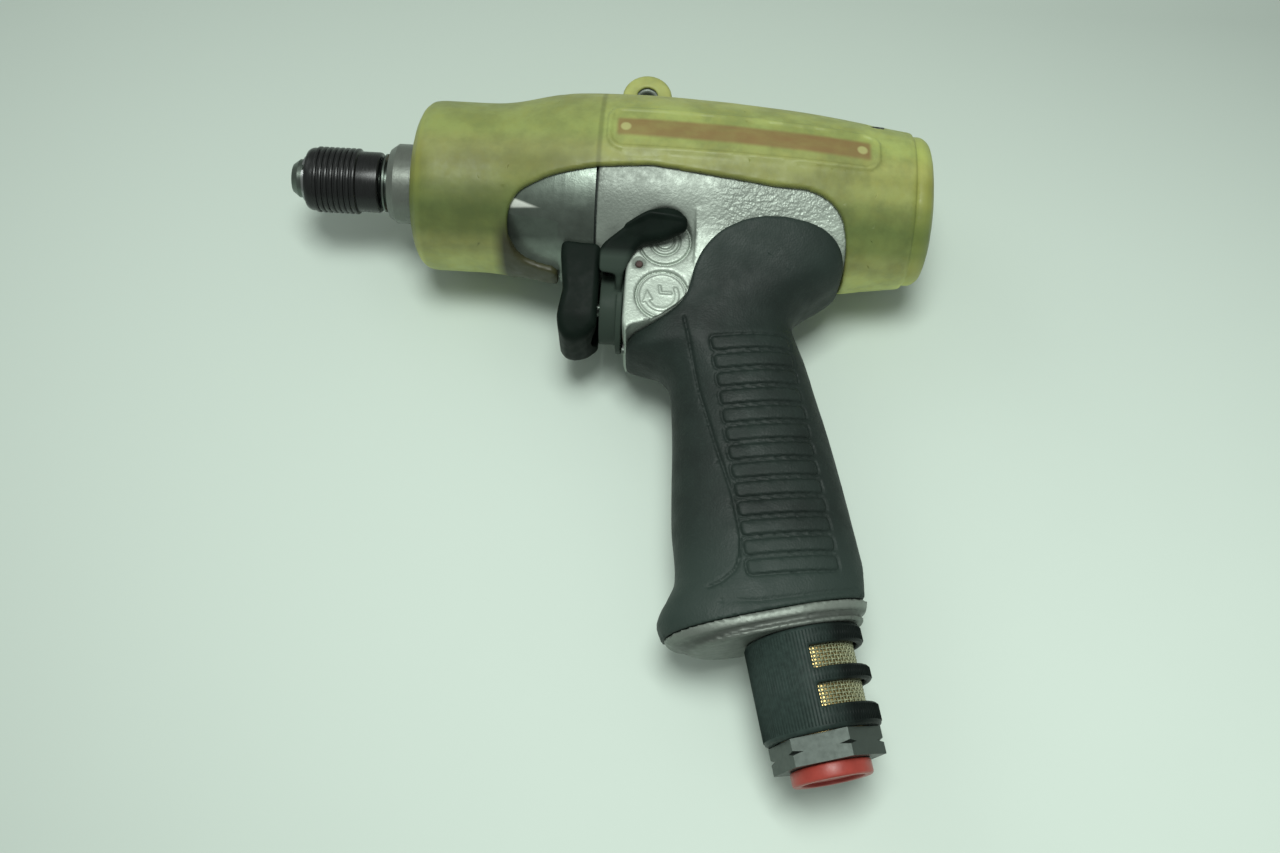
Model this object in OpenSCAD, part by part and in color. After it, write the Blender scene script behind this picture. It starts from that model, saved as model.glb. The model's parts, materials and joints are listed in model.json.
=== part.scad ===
// Pistol-grip oil pulse wrench, lying on its right side.
// X runs along the output axis from the bit socket to the rear, Y points to the top of the tool,
// Z points out of its left side. The mid-plane of the tool is z = 0, and the origin is the mouth
// of the bit socket. The handle has its own frame: o is the distance behind the handle axis and
// s the distance down that axis from the output axis.

/* [Barrel] */
// Distance from the bit socket to the joint between front case and motor housing
seam_x = 96; // [94:0.5:97]
// Wall of the protective cover
cover_wall = 2.4; // [2:0.1:2.8]
// Bore of the motor housing, radius
motor_bore_r = 19.5; // [19.5:0.1:20]
// Bore of the front case, radius
pulse_bore_r = 18.2; // [18.2:0.1:18.6]
// Width across the hexagon of the bit socket
bit_across_flats = 6.35; // [6.35:0.05:6.5]
// Radius of the hanger hole
hanger_r = 2.6; // [2.4:0.1:2.8]

/* [Handle] */
// Lean of the handle from square, in degrees
handle_lean = 14; // [12:0.5:16]
// Thickness of the rubber grip
rubber = 2.4; // [2:0.1:2.8]
// Outer radius of the exhaust deflector
deflector_r = 16.5; // [16:0.1:17]
// Width across the flats of the inlet bushing
inlet_across_flats = 27; // [26:0.5:28]
// Radius of the air inlet thread
inlet_thread_r = 5.7; // [5.5:0.1:6]

/* [Trigger] */
// Height of the trigger axis below the output axis
trigger_drop = 39; // [38.5:0.5:39.5]
// Half width of the trigger
trigger_half = 12.6; // [12:0.2:13]

/* [Hidden] */
$fn = 64;

// Radial clearances: a running fit, and the slack of the cover on the metal
run_fit = 0.04;
cover_slack = 0.02;

// Outer radius of the cover along the barrel: [x, radius]
barrel_stations = [[46.1, 26.1], [52, 26.1], [62, 26.15], [67, 26.5], [72, 27.4], [77, 28.6], [82, 29.7],
                   [88, 30.5], [98, 30.9], [112, 31], [124, 30.6], [135, 30.1], [146, 29.3],
                   [157, 28.4], [168, 27.1], [179, 25.5], [186, 24.5], [190.2, 23.95]];
barrel_step = 3;
nose_end_x = 46.1;
tail_x = 190.2;
// Rounded nose of the cover ahead of the barrel: [x, radius]
cover_nose = [[38.5, 12.7], [39, 16.6], [40.1, 20.8], [41.7, 23.9], [43.7, 25.6]];
// Groove and domed end of the cover behind the barrel
cover_tail = [[190.4, 22.7], [191, 22.5], [191.6, 23], [193.6, 22.6], [195.3, 21.2], [196.4, 18],
              [197.1, 10], [197.4, 0]];
// Metal under the nose and the domed end
case_nose = [[40.9, 12.3], [41.4, 15.6], [42.4, 18.9], [43.9, 21.6], [45.7, 23.1]];
cap_tail = [[190, 20.2], [192.6, 19.6], [193.7, 17.2], [194.4, 10], [194.7, 0]];
housing_end_x = 183;
neck_front_x = 30.8;
neck_r = 12.3;

// Handle
handle_x = 128.1;
flange_end_s = 139.4;
deflector_end_s = 167.8;
bushing_end_s = 175.3;
// Contours of the grip: distance down the handle, and front, rear or half width there
grip_front = [[15, -26.5], [30, -30.2], [45, -34], [49, -34.8], [50.5, -33], [52, -29.4], [54, -26],
              [57, -23.6], [61, -22.4], [68, -23.2], [80, -25.3], [92, -27.8], [104, -30],
              [113, -30.9], [119, -32.2], [122, -34.2], [126, -37.4], [129.5, -39.2], [134, -38.6]];
grip_rear = [[15, 33], [22, 36], [30, 37.6], [34, 37], [37, 34.9], [39.5, 31.2], [42, 25.5], [45, 20],
             [49, 17.2], [54, 17.4], [62, 18.5], [72, 19.2], [84, 20.1], [100, 20.7], [118, 21],
             [134, 21.3]];
grip_width = [[15, 26], [20, 23.6], [26, 21.6], [32, 19.6], [36, 18.2], [40, 17.5], [50, 16.9],
              [62, 16.6], [80, 16.6], [100, 17], [118, 17.2], [134, 17.4]];
flange_front = [[134, -38], [136, -36.6], [138, -33.2], [139.4, -29]];
flange_rear = [[134, 20], [136, 19.2], [138, 18.2], [139.4, 17.4]];
flange_width = [[134, 17.3], [136, 17.2], [138, 17], [139.4, 16.7]];
// How square the section is: [distance down the handle, exponent]
section_power = [[15, 4], [34, 4], [42, 2.5], [140, 2.5]];
section_points = 36;
// Side outline of what the rubber covers, in x and y; ahead of it the casting is bare
rubber_outline = [[107.4, -64], [107.4, -51], [111.4, -50], [114.8, -48.6], [118.2, -46.4], [121.6, -43.7],
                  [124, -40.7], [125.2, -37.2], [126, -32.5], [127.8, -28], [130.5, -24.2], [134, -20.9],
                  [139.8, -17.8], [146, -16.2], [152.1, -15.8], [158.4, -16.2], [163.8, -17.2],
                  [167.2, -19], [169.6, -21.6], [170.8, -25], [171, -50], [210, -150], [95, -150]];
// Side outline of the trigger boss of the casting
boss_outline = [[106, -24], [106, -49.8], [107.2, -52.8], [109, -54.6], [119, -58], [134, -46],
                [137, -14], [112, -14]];
boss_half = 17;

// Side outline of the opening in the cover, cut through from side to side
window_outline = [[71.8, -60], [71.8, -27], [69.8, -21.5], [70.2, -16.6], [73.4, -12.6], [82, -9.4],
                  [95, -6.6], [112, -5.2], [130, -7], [149, -8.6], [158.5, -8.6], [164.4, -10.6],
                  [168.6, -14.4], [170.7, -20], [171.3, -28], [171.3, -60]];
// Half of the tongue that the cover keeps under the case, from below: [x, z]
tongue_plan = [[66, 0], [66, 15], [70.5, 12], [72.4, 8], [75, 5.6], [79, 4.8], [83.6, 4.6], [85, 3.4],
               [85.2, 0]];

// Hanger ear
ear_x = 108.5;
ear_y = 33.8;

// Trigger group along x
trigger_back_x = 98.4;
housing_face_x = 106;
ring_r = 10.5;
valve_r = 9;
seat_x = 124;
chamber_end_x = 141;
pin_rise = 8;
pin_x = 110;

// Pulse unit and motor along x
bush_end_x = 47;
lid_front_x = 49.5;
liner_front_x = 54.5;
liner_back_x = 91;
front_plate_x = 102.5;
end_plate_t = 8;
rotor_front_x = 111;
rotor_back_x = 159;
rear_plate_x = 159.5;
liner_r = 17.5;
rotor_r = 13;
shaft_r = 3.5;
bearing_r = 9.5;
bearing_t = 6;
cylinder_shift = 1.4;
vane_count = 5;

// Catmull-Rom interpolation in a table of [x, value]
function span(t, x, i = 0) = (i >= len(t) - 2 || x < t[i + 1][0]) ? i : span(t, x, i + 1);
function smooth(t, x) =
    let (i = span(t, x), a = t[max(i - 1, 0)], b = t[i], c = t[i + 1], d = t[min(i + 2, len(t) - 1)],
         w = c[0] - b[0], u = (x - b[0]) / w,
         mb = (c[1] - a[1]) / (c[0] - a[0]) * w, mc = (d[1] - b[1]) / (d[0] - b[0]) * w)
    (2 * u * u * u - 3 * u * u + 1) * b[1] + (u * u * u - 2 * u * u + u) * mb
    + (3 * u * u - 2 * u * u * u) * c[1] + (u * u * u - u * u) * mc;

// Points [radius, x] of the barrel between two places, drawn in by some distance
function barrel_run(x0, x1, inset) =
    let (n = max(1, round((x1 - x0) / barrel_step)))
    [for (i = [0 : n]) let (x = x0 + (x1 - x0) * i / n) [smooth(barrel_stations, x) - inset, x]];
function flip(t) = [for (p = t) [p[1], p[0]]];
function reverse_of(t) = [for (i = [len(t) - 1 : -1 : 0]) t[i]];

module along_x(x = 0) { translate([x, 0, 0]) rotate([0, 90, 0]) children(); }
module turned(points) { rotate([0, 90, 0]) rotate_extrude() polygon(points); }
module rod_x(x0, x1, r) { along_x(x0) cylinder(h = x1 - x0, r = r); }
module tube_x(x0, x1, r, bore) {
    difference() {
        rod_x(x0, x1, r);
        rod_x(x0 - 1, x1 + 1, bore);
    }
}
module in_handle() { translate([handle_x, 0, 0]) rotate([0, 0, handle_lean]) children(); }
module down_handle(s0, s1, r, o = 0, z = 0) {
    in_handle() translate([o, -s1, z]) rotate([-90, 0, 0]) cylinder(h = s1 - s0, r = r);
}
module at_trigger() { translate([0, -trigger_drop, 0]) children(); }
module slab(outline, half) { translate([0, 0, -half]) linear_extrude(2 * half) children(); }

// One closed ring of the handle, in the handle's own frame
function ring(s, front, rear, width, inset) =
    let (f = smooth(front, s) + inset, r = smooth(rear, s) - inset, w = smooth(width, s) - inset,
         c = (f + r) / 2, a = (r - f) / 2, p = 2 / smooth(section_power, s))
    [for (i = [0 : section_points - 1])
        let (t = 360 * i / section_points)
        [c + a * sign(cos(t)) * pow(abs(cos(t)), p), -s, w * sign(sin(t)) * pow(abs(sin(t)), p)]];

// Closed skin through rings that follow each other down the handle
module loft(rings) {
    n = len(rings[0]);
    m = len(rings);
    polyhedron(
        points = [for (r = rings) each r],
        faces = [
            [for (i = [0 : n - 1]) i],
            [for (i = [n - 1 : -1 : 0]) (m - 1) * n + i],
            for (k = [0 : m - 2], i = [0 : n - 1]) let (j = (i + 1) % n)
                [k * n + i, (k + 1) * n + i, k * n + j],
            for (k = [0 : m - 2], i = [0 : n - 1]) let (j = (i + 1) % n)
                [k * n + j, (k + 1) * n + i, (k + 1) * n + j]
        ]);
}

grip_levels = [15, 20, 25, 30, 35, 38, 40.5, 43, 46, 49, 50.5, 52, 54, 57, 61, 68, 77, 87, 98, 109, 117, 121,
               124, 127, 130, 134];
module handle_skin(inset) {
    in_handle() loft([for (s = grip_levels) ring(s, grip_front, grip_rear, grip_width, inset)]);
}
module handle_flange() {
    in_handle() loft([for (s = [134, 136, 138, 139.4]) ring(s, flange_front, flange_rear, flange_width, 0)]);
}
module rubber_region() {
    slab(0, 45) offset(r = 4) offset(delta = -4) polygon(rubber_outline);
}

// Front case: neck, shoulder and body turned from one bar, with milled wrench flats
module front_case() {
    spigot_r = 22;
    color("dimgray") difference() {
        turned(concat(
            [[pulse_bore_r, lid_front_x - 0.5], [10.05, lid_front_x - 0.5], [10.05, neck_front_x + 0.6],
             [10.6, neck_front_x], [neck_r - 1.6, neck_front_x], [neck_r, neck_front_x + 2.2]],
            flip(case_nose),
            barrel_run(nose_end_x + 1.6, seam_x, cover_wall),
            [[spigot_r, seam_x], [spigot_r, seam_x + 5.5], [pulse_bore_r, seam_x + 5.5]]));
        for (side = [-1, 1], turn = [66, 114]) wrench_flat(side * turn);
    }
}
// A flat that runs out towards the rear, on the side of the case turned away from +Z
module wrench_flat(turn) {
    flat_depth = 20.9;
    flat_slope = 12;
    rotate([turn, 0, 0]) translate([60, 0, flat_depth]) rotate([0, -flat_slope, 0])
        translate([0, -10.5, 0]) cube([26, 21, 12]);
}

module front_bush() { color("peru") tube_x(neck_front_x + 0.6, bush_end_x, 10.05, 7 + run_fit); }

module shaft_seal() {
    color("black") along_x(bush_end_x) difference() {
        cylinder(h = lid_front_x - 0.5 - bush_end_x, r = 10.05);
        translate([0, 0, -1]) cylinder(h = 5, r = 7 + 2 * run_fit);
    }
}

module case_gasket() { color("darkslategray") tube_x(seam_x, seam_x + 0.5, 26, 22); }

// Cast housing: barrel, trigger boss, handle core, foot flange and hanger ear
module motor_housing() {
    color("silver") difference() {
        union() {
            turned(concat([[0, seam_x + 0.5]], barrel_run(seam_x + 0.5, housing_end_x, cover_wall),
                          [[0, housing_end_x]]));
            handle_core();
            handle_flange();
            trigger_boss();
            ear(5.6, 3, 24);
        }
        rod_x(seam_x - 1, seam_x + 6, 22.05);
        rod_x(seam_x + 5.5, housing_end_x + 1, motor_bore_r);
        translate([ear_x, ear_y, -10]) cylinder(h = 20, r = hanger_r);
        plate_layer(77, 10.4, plate_seat, -2);
        cover_screw_hole(20, 1.2);
        rivet_places() translate([0, 0, -3]) cylinder(h = 6, r = 0.8);
        at_trigger() rod_x(98, housing_face_x, ring_r + 0.5);
        at_trigger() rod_x(housing_face_x - 4, seat_x, valve_r + run_fit);
        at_trigger() rod_x(seat_x - 1, chamber_end_x, 7.2);
        translate([pin_x, pin_rise - trigger_drop, -20]) cylinder(h = 40, r = 1.1);
        at_trigger() translate([0, -11.6, 0]) rod_x(housing_face_x - 1, housing_face_x + 7, 1.5);
        for (x = [113.5, 118], z = [-4, 4])
            translate([x, -trigger_drop + 5, z]) rotate([-90, 0, 0]) cylinder(h = 18, r = 1.7);
        down_handle(40, 132, 4.8);
        down_handle(121, flange_end_s + 1, 9);
        for (t = [-55, 0, 55]) down_handle(22, flange_end_s + 1, 2.6, 13 * cos(t), 13 * sin(t));
        direction_marks();
    }
}
// The handle under the rubber; ahead of the rubber it is no wider than the boss
module handle_core() {
    difference() {
        handle_skin(rubber);
        difference() {
            for (side = [-1, 1]) translate([96, -30, side * (boss_half + 10)])
                cube([60, 60, 20], center = true);
            rubber_region();
        }
    }
}
module trigger_boss() {
    difference() {
        hull() {
            slab(0, boss_half) offset(delta = -1.2) polygon(boss_outline);
            slab(0, boss_half - 1.2) polygon(boss_outline);
        }
        rubber_region();
        rod_x(80, seam_x + 0.5, 30);
    }
}
// Sunk rings that show which way the lever turns the tool
module direction_marks() {
    upper = [7.5, 4.6, 3];
    lower = [7.8];
    for (y = [-23.6, -41], r = y > -30 ? upper : lower) translate([117.2, y, boss_half]) {
        difference() {
            translate([0, 0, -0.5]) cylinder(h = 2, r = r);
            translate([0, 0, -1]) cylinder(h = 3, r = r - 0.6);
        }
    }
}
module ear(r, half, y0) {
    slab(0, half) union() {
        translate([ear_x, ear_y]) circle(r = r);
        translate([ear_x - r, y0]) square([2 * r, ear_y - y0]);
    }
}

// Soft cover: full rings at both ends, joined by a saddle over the top
module protective_cover() {
    cover_ear = 7.85;
    cover_ear_half = 4.6;
    color("khaki") difference() {
        union() {
            turned(concat([[0, cover_nose[0][0]]], flip(cover_nose),
                          barrel_run(nose_end_x, tail_x, 0), flip(cover_tail)));
            ear(cover_ear, cover_ear_half, 20);
            plate_frame();
        }
        turned(concat([[0, 30], [neck_r + cover_slack, 30]],
                      [for (p = case_nose) [p[1] + cover_slack, p[0] - cover_slack]],
                      barrel_run(nose_end_x + 1.6, tail_x - 0.8, cover_wall - cover_slack),
                      [for (p = cap_tail) [p[1] > 0 ? p[1] + cover_slack : 0, p[0] + cover_slack]]));
        ear(5.6 + cover_slack, 3 + cover_slack, 10);
        translate([ear_x, ear_y, -10]) cylinder(h = 20, r = hanger_r + 0.6);
        cover_window();
        cover_screw_hole(15, 3);
    }
}

module cover_window() {
    difference() {
        slab(0, 45) offset(r = 3) offset(delta = -3) polygon(window_outline);
        for (side = [0, 1]) mirror([0, 0, side]) translate([0, -15, 0]) rotate([90, 0, 0])
            linear_extrude(20) polygon(tongue_plan);
    }
}

// Rear cap: screwed into the housing, with two holes for a pin spanner
module rear_cap() {
    spigot_r = motor_bore_r - run_fit;
    color("gray") difference() {
        turned(concat([[13, 169.6], [spigot_r, 169.6], [spigot_r, 175], [17.8, 175], [17.8, 177.4],
                       [spigot_r, 177.4], [spigot_r, housing_end_x]],
                      barrel_run(housing_end_x, tail_x - 0.8, cover_wall), flip(cap_tail),
                      [[0, 187], [13, 187]]));
        for (t = [0, 180]) rotate([t, 0, 0]) translate([tail_x - 0.8, 0, 14]) rotate([0, 90, 0])
            cylinder(h = 8, r = 2);
    }
}
module cap_ring() { color("black") tube_x(175.1, 177.3, 19.4, 17.9); }
// Dished washer that keeps the motor parts pressed together
module motor_washer() {
    x0 = rear_plate_x + end_plate_t;
    color("lightgray") turned([[15.5, x0 + 1.2], [18.6, x0 + 0.1], [18.6, x0 + 0.9], [15.5, x0 + 2]]);
}
screw_turn = 53;
screw_x = 179;
module cover_screw_hole(r0, r) {
    rotate([-screw_turn, 0, 0]) translate([screw_x, 0, r0]) cylinder(h = 12, r = r);
}
module cover_screw() {
    color("#22282c") rotate([-screw_turn, 0, 0]) translate([screw_x, 0, 0]) difference() {
        union() {
            translate([0, 0, 20.2]) cylinder(h = 4, r = 1.15);
            translate([0, 0, 23.7]) cylinder(h = 1.5, r = 2.8);
        }
        translate([0, 0, 24.2]) cylinder(h = 2, r = 1.6, $fn = 6);
    }
}

// The plate lies in a shallow seat on the upper left of the housing and follows its curve
plate_turn = 12;
plate_x = 138.8;
plate_seat = 1.1;
nameplate_t = 0.5;
module plate_prism(length, width, corner) {
    rotate([-plate_turn, 0, 0]) translate([plate_x, 0, 10]) linear_extrude(30)
        offset(r = corner) square([length - 2 * corner, width - 2 * corner], center = true);
}
// What a rounded rectangle cuts out of the skin of the metal barrel, between two depths
module plate_layer(length, width, deep, shallow, corner = 2.5) {
    intersection() {
        plate_prism(length, width, corner);
        difference() {
            turned(concat([[0, 96.5]], barrel_run(96.5, 182, cover_wall + shallow), [[0, 182]]));
            turned(concat([[0, 90]], barrel_run(90, 190, cover_wall + deep), [[0, 190]]));
        }
    }
}
module rivet_places() {
    for (x = [plate_x - 35, plate_x + 35])
        rotate([-plate_turn, 0, 0]) translate([x, 0, smooth(barrel_stations, x) - cover_wall]) children();
}
module nameplate() {
    color("indianred") difference() {
        plate_layer(75, 8.6, plate_seat, plate_seat - nameplate_t, 2);
        rivet_places() translate([0, 0, -4]) cylinder(h = 8, r = 0.8);
    }
}
module nameplate_rivets() {
    color("lightgray") rivet_places() {
        translate([0, 0, -2.8]) cylinder(h = 2.5, r = 0.75);
        difference() {
            translate([0, 0, -1.4]) sphere(r = 1.42);
            translate([0, 0, -3.26]) cube([6, 6, 5.6], center = true);
        }
    }
}
// Raised frame on the cover round the plate below it
module plate_frame() {
    intersection() {
        difference() {
            plate_prism(81, 16, 5);
            plate_prism(78.2, 13.2, 3.6);
        }
        turned(concat([[0, 90]], barrel_run(90, 190, -0.7), [[0, 190]]));
    }
}

// Rubber grip: the handle skin less the casting, with raised bars on both cheeks. It stops just above the
// flange at the foot
grip_end_s = 133.8;
module grip_rubber() {
    color("darkslategray") difference() {
        intersection() {
            union() {
                handle_skin(0);
                cheek_bars();
            }
            rubber_region();
            in_handle() translate([-60, -grip_end_s, -40]) cube([120, grip_end_s, 80]);
        }
        handle_skin(rubber);
        turned(concat([[0, 90]], [for (p = barrel_run(90, 172, cover_wall)) [p[0] + 0.03, p[1]]],
                      [[0, 172]]), $fn = 96);
    }
}
module cheek_bars() {
    bar_count = 9;
    for (side = [-1, 1], k = [0 : bar_count - 1]) {
        s = 66 + 5.6 * k;
        in_handle() hull() for (o = [-7 - 0.12 * k, 9])
            translate([o, -s - 0.1 * (o + 7), side * (smooth(grip_width, s) - 0.9)])
                sphere(r = 1.5, $fn = 12);
    }
}

// Trigger: a hood over the lever ring, with a hub for its rod
trigger_outline = [[86.4, -18], [86.5, -28], [87.3, -34.5], [87.8, -38.5], [87, -43], [86.5, -46.5],
                   [87.1, -50], [89, -52.8], [91.8, -53.6], [95.4, -52], [98.4, -48.6], [98.4, -18]];
module trigger() {
    color("#20262b") difference() {
        intersection() {
            slab(0, 20) offset(r = 0.8) offset(delta = -0.8) polygon(trigger_outline);
            translate([80, 0, 0]) rotate([90, 0, 90]) linear_extrude(30) trigger_front_view();
        }
        difference() {
            at_trigger() rod_x(89.6, trigger_back_x + 1, ring_r + 0.6);
            at_trigger() rod_x(80, 95, 4.8);
        }
        at_trigger() rod_x(87.9, trigger_back_x + 1, 2.5);
        at_trigger() translate([93, 0, -8]) cylinder(h = 16, r = 1);
        turned(concat([[0, 80]], [for (p = barrel_run(80, 104, cover_wall)) [p[0] + 0.5, p[1]]],
                      [[0, 104]]));
    }
}
// Half of the trigger from the front: [y, z]
trigger_edge = [[-10, trigger_half + 3], [-25, trigger_half + 3], [-33, trigger_half + 2.2],
                [-40, trigger_half + 0.9], [-46, trigger_half - 0.2], [-54.5, 8.6]];
module trigger_front_view() {
    offset(r = 5) offset(delta = -5)
        polygon([for (side = [-1, 1], p = side < 0 ? trigger_edge : reverse_of(trigger_edge))
            [p[0], side * p[1]]]);
}
module trigger_pin() { color("silver") at_trigger() translate([93, 0, -4.7]) cylinder(h = 9.4, r = 1); }
module trigger_rod() {
    color("lightgray") at_trigger() difference() {
        union() {
            rod_x(87.9, seat_x, 2.5);
            rod_x(seat_x, 133, 1.6);
        }
        translate([93, 0, -8]) cylinder(h = 16, r = 1);
    }
}
module throttle_valve() {
    color("goldenrod") at_trigger() turned([[1.6, 124.3], [4.4, 124.3], [5.6, 126.4], [5.6, 129],
                                            [3.4, 129.6], [3.4, 132], [1.6, 132]]);
}
// A round spring wound along x, as one unbroken tube
module spring_x(x0, x1, r, wire, turns) {
    sides = 6;
    steps = 12;
    count = turns * steps;
    loft([for (k = [0 : count])
        let (a = 360 * k / steps, x = x0 + wire + (x1 - x0 - 2 * wire) * k / count)
        [for (j = [0 : sides - 1]) let (b = 360 * j / sides)
            [x + wire * sin(b), (r + wire * cos(b)) * cos(a), (r + wire * cos(b)) * sin(a)]]]);
}
module valve_spring() {
    color("lightgray") at_trigger() spring_x(129.6, chamber_end_x, 4.7, 0.45, 4);
}
module trigger_bush() {
    color("goldenrod") at_trigger() difference() {
        union() {
            rod_x(101.6, seat_x - 2.8, 5.5);
            rod_x(seat_x - 2.8, seat_x, valve_r);
        }
        rod_x(101, 117, 2.5 + run_fit);
        rod_x(116, seat_x + 1, 3.8);
        for (t = [0 : 90 : 270]) rotate([t, 0, 0]) translate([118.2, 0, 0]) cylinder(h = 12, r = 1.2);
    }
}
module bush_pin() {
    color("lightgray") translate([pin_x, pin_rise - trigger_drop, -16.6]) cylinder(h = 33.2, r = 1.1);
}

// Reverse lever: a ring behind the trigger, a half plate for the click stop, and an arm
// that rises along the barrel and turns back over the mark
wing_turn = 42;
lever_back_x = housing_face_x - 0.3;
module reverse_lever() {
    click_plate_x = 103.9;
    color("#1d2226") difference() {
        union() {
            at_trigger() rod_x(98.9, lever_back_x, ring_r);
            at_trigger() intersection() {
                rod_x(click_plate_x, lever_back_x, 13.2);
                translate([100, -15, -15]) cube([8, 15, 30]);
            }
            intersection() {
                translate([0, 0, 2]) linear_extrude(30)
                    offset(r = 1.5) offset(delta = -1.5) polygon(wing_plan);
                rotate([90, 0, 0]) linear_extrude(60)
                    offset(r = 0.8) offset(delta = -0.8) polygon(wing_side);
                translate([90, 0, 0]) rotate([90, 0, 90]) linear_extrude(40)
                    offset(r = 0.7) offset(delta = -0.7) polygon(wing_section);
            }
        }
        rod_x(95, 130, 29.3);
        at_trigger() rod_x(97, 107, 7.5);
        at_trigger() along_x(lever_back_x - 0.6) difference() {
            cylinder(h = 2, r = 12.5);
            translate([0, 0, -1]) cylinder(h = 4, r = 10.7);
        }
    }
}
// The arm from the left side, from below and from the front
wing_plan = [[98.9, -45], [98.9, -30.2], [100.8, -27], [106.2, -22], [109.6, -19.2], [113, -17.6],
             [117.5, -16.7], [121.4, -17.5], [123.7, -20.2], [123.9, -22.2], [121.6, -23.4],
             [115.8, -25.5], [111.1, -26.1], [108.9, -27.9], [106.9, -31.9], [105.7, -36], [105.7, -45]];
wing_side = [[103.2, 2], [103.2, 16.2], [98.9, 16.7], [98.9, 20.4], [100.8, 23.8], [105, 25.8], [111, 26.8],
             [119, 26.4], [123, 25.2], [124.6, 23.5], [124.6, 21.4], [119, 19.2], [113, 17.9],
             [107.2, 17.6], [105.7, 16.2], [105.7, 2]];
wing_section = [[-40, 2], [-38.8, 9], [-35, 13], [-31.2, 17], [-27.2, 20.6], [-17.8, 26.8],
                [-15, 25.6], [-15, 18], [-22, 2]];
module reverse_valve() {
    color("darkgoldenrod") at_trigger() difference() {
        union() {
            rod_x(99.4, housing_face_x - 0.1, 7.5);
            rod_x(housing_face_x - 0.1, seat_x - 2.9, valve_r);
        }
        rod_x(98, seat_x, 5.5 + run_fit);
        tube_x(pin_x - 1.3, pin_x + 1.3, valve_r + 1, pin_rise - 1.2);
        for (t = [wing_turn, wing_turn + 180], x = [113.5, 118])
            rotate([t, 0, 0]) translate([x, 0, 0]) cylinder(h = 12, r = 1.7);
    }
}
module detent_ball() {
    color("silver") at_trigger() translate([housing_face_x + 0.75, -11.6, 0]) sphere(r = 1.4);
}
module detent_spring() {
    color("lightgray") at_trigger() translate([0, -11.6, 0])
        spring_x(housing_face_x + 2.2, housing_face_x + 7, 1, 0.22, 5);
}

// Vane motor
module motor_cylinder() {
    color("slategray") difference() {
        rod_x(front_plate_x + end_plate_t, rear_plate_x, motor_bore_r - run_fit);
        translate([0, cylinder_shift, 0]) rod_x(front_plate_x, rear_plate_x + 1, 14.7);
        dowel_place() cylinder(h = 90, r = 1.5);
        for (x = [113.5, 118], z = [-4, 4]) translate([x, -25, z]) rotate([-90, 0, 0])
            cylinder(h = 16, r = 1.7);
        for (x = [125 : 7 : 153]) translate([x, -25, 0]) rotate([-90, 0, 0]) cylinder(h = 14, r = 1.8);
    }
}
module dowel_place() { translate([front_plate_x + 2, -16.6, 0]) rotate([0, 90, 0]) children(); }
module cylinder_dowel() { color("silver") dowel_place() cylinder(h = 59, r = 1.5); }
module end_plate(x0, pocket_x) {
    difference() {
        rod_x(x0, x0 + end_plate_t, motor_bore_r - run_fit);
        rod_x(x0 - 1, x0 + end_plate_t + 1, shaft_r + 0.6);
        rod_x(pocket_x, pocket_x + bearing_t, bearing_r);
        dowel_place() cylinder(h = 59, r = 1.5);
    }
}
module front_end_plate() { color("darkgray") end_plate(front_plate_x, front_plate_x); }
module rear_end_plate() {
    color("darkgray") end_plate(rear_plate_x, rear_plate_x + end_plate_t - bearing_t);
}

module rotor() {
    slot_t = 2.1;
    color("gray") difference() {
        union() {
            rod_x(rotor_front_x, rotor_back_x, rotor_r);
            rod_x(front_plate_x - 4, rear_plate_x + end_plate_t, shaft_r);
            along_x(liner_back_x - 4) cylinder(h = 14, r = shaft_r - 0.05, $fn = 6);
        }
        for (k = [0 : vane_count - 1]) rotate([360 * k / vane_count, 0, 0])
            translate([rotor_front_x - 1, -slot_t / 2, 6])
                cube([rotor_back_x - rotor_front_x + 2, slot_t, 10]);
    }
}
module rotor_vanes() {
    vane_t = 2;
    color("saddlebrown") for (k = [0 : vane_count - 1]) rotate([360 * k / vane_count, 0, 0])
        translate([rotor_front_x, -vane_t / 2, 6]) cube([rotor_back_x - rotor_front_x, vane_t, 6.9]);
}
module at_bearings() {
    for (x = [front_plate_x, rear_plate_x + end_plate_t - bearing_t]) translate([x, 0, 0]) children();
}
module ball_groove() {
    translate([bearing_t / 2, 0, 0]) rotate([0, 90, 0]) rotate_extrude()
        translate([6.5, 0]) circle(r = 1.8);
}
module bearing_outer_rings() {
    color("lightsteelblue") at_bearings() difference() {
        rod_x(0, bearing_t, bearing_r);
        rod_x(-1, bearing_t + 1, 7.6);
        ball_groove();
    }
}
module bearing_inner_rings() {
    color("lightsteelblue") at_bearings() difference() {
        rod_x(0, bearing_t, 5.4);
        rod_x(-1, bearing_t + 1, shaft_r);
        ball_groove();
    }
}
module bearing_balls() {
    ball_count = 8;
    color("white") at_bearings() for (k = [0 : ball_count - 1]) rotate([360 * k / ball_count, 0, 0])
        translate([bearing_t / 2, 0, 6.5]) sphere(r = 1.7);
}

// Pulse unit: an oil-filled liner round the rear of the anvil
liner_lobe = 1.6;
cavity_back_x = 83;
module pulse_liner() {
    color("steelblue") difference() {
        turned([[0, liner_front_x], [liner_r, liner_front_x], [liner_r, liner_back_x - 2],
                [liner_r - 3, liner_back_x], [0, liner_back_x]]);
        for (y = [-liner_lobe, liner_lobe])
            translate([0, y, 0]) rod_x(liner_front_x - 1, cavity_back_x, 12.2);
        rod_x(cavity_back_x - 1, cavity_back_x + 3, 5 + run_fit);
        along_x(liner_back_x - 4.2) cylinder(h = 6, r = shaft_r, $fn = 6);
        relief_place() cylinder(h = 9, r = 1.6);
    }
}
module relief_place() { translate([liner_front_x + 9, 0, 9]) translate([0, 0, 4]) children(); }
module liner_lid() {
    color("cadetblue") difference() {
        tube_x(lid_front_x, liner_front_x, liner_r, 7 + run_fit);
        for (t = [0, 180]) rotate([t, 0, 0]) translate([lid_front_x - 1, 0, 12.8]) rotate([0, 90, 0])
            cylinder(h = 3, r = 1.3);
    }
}
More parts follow.
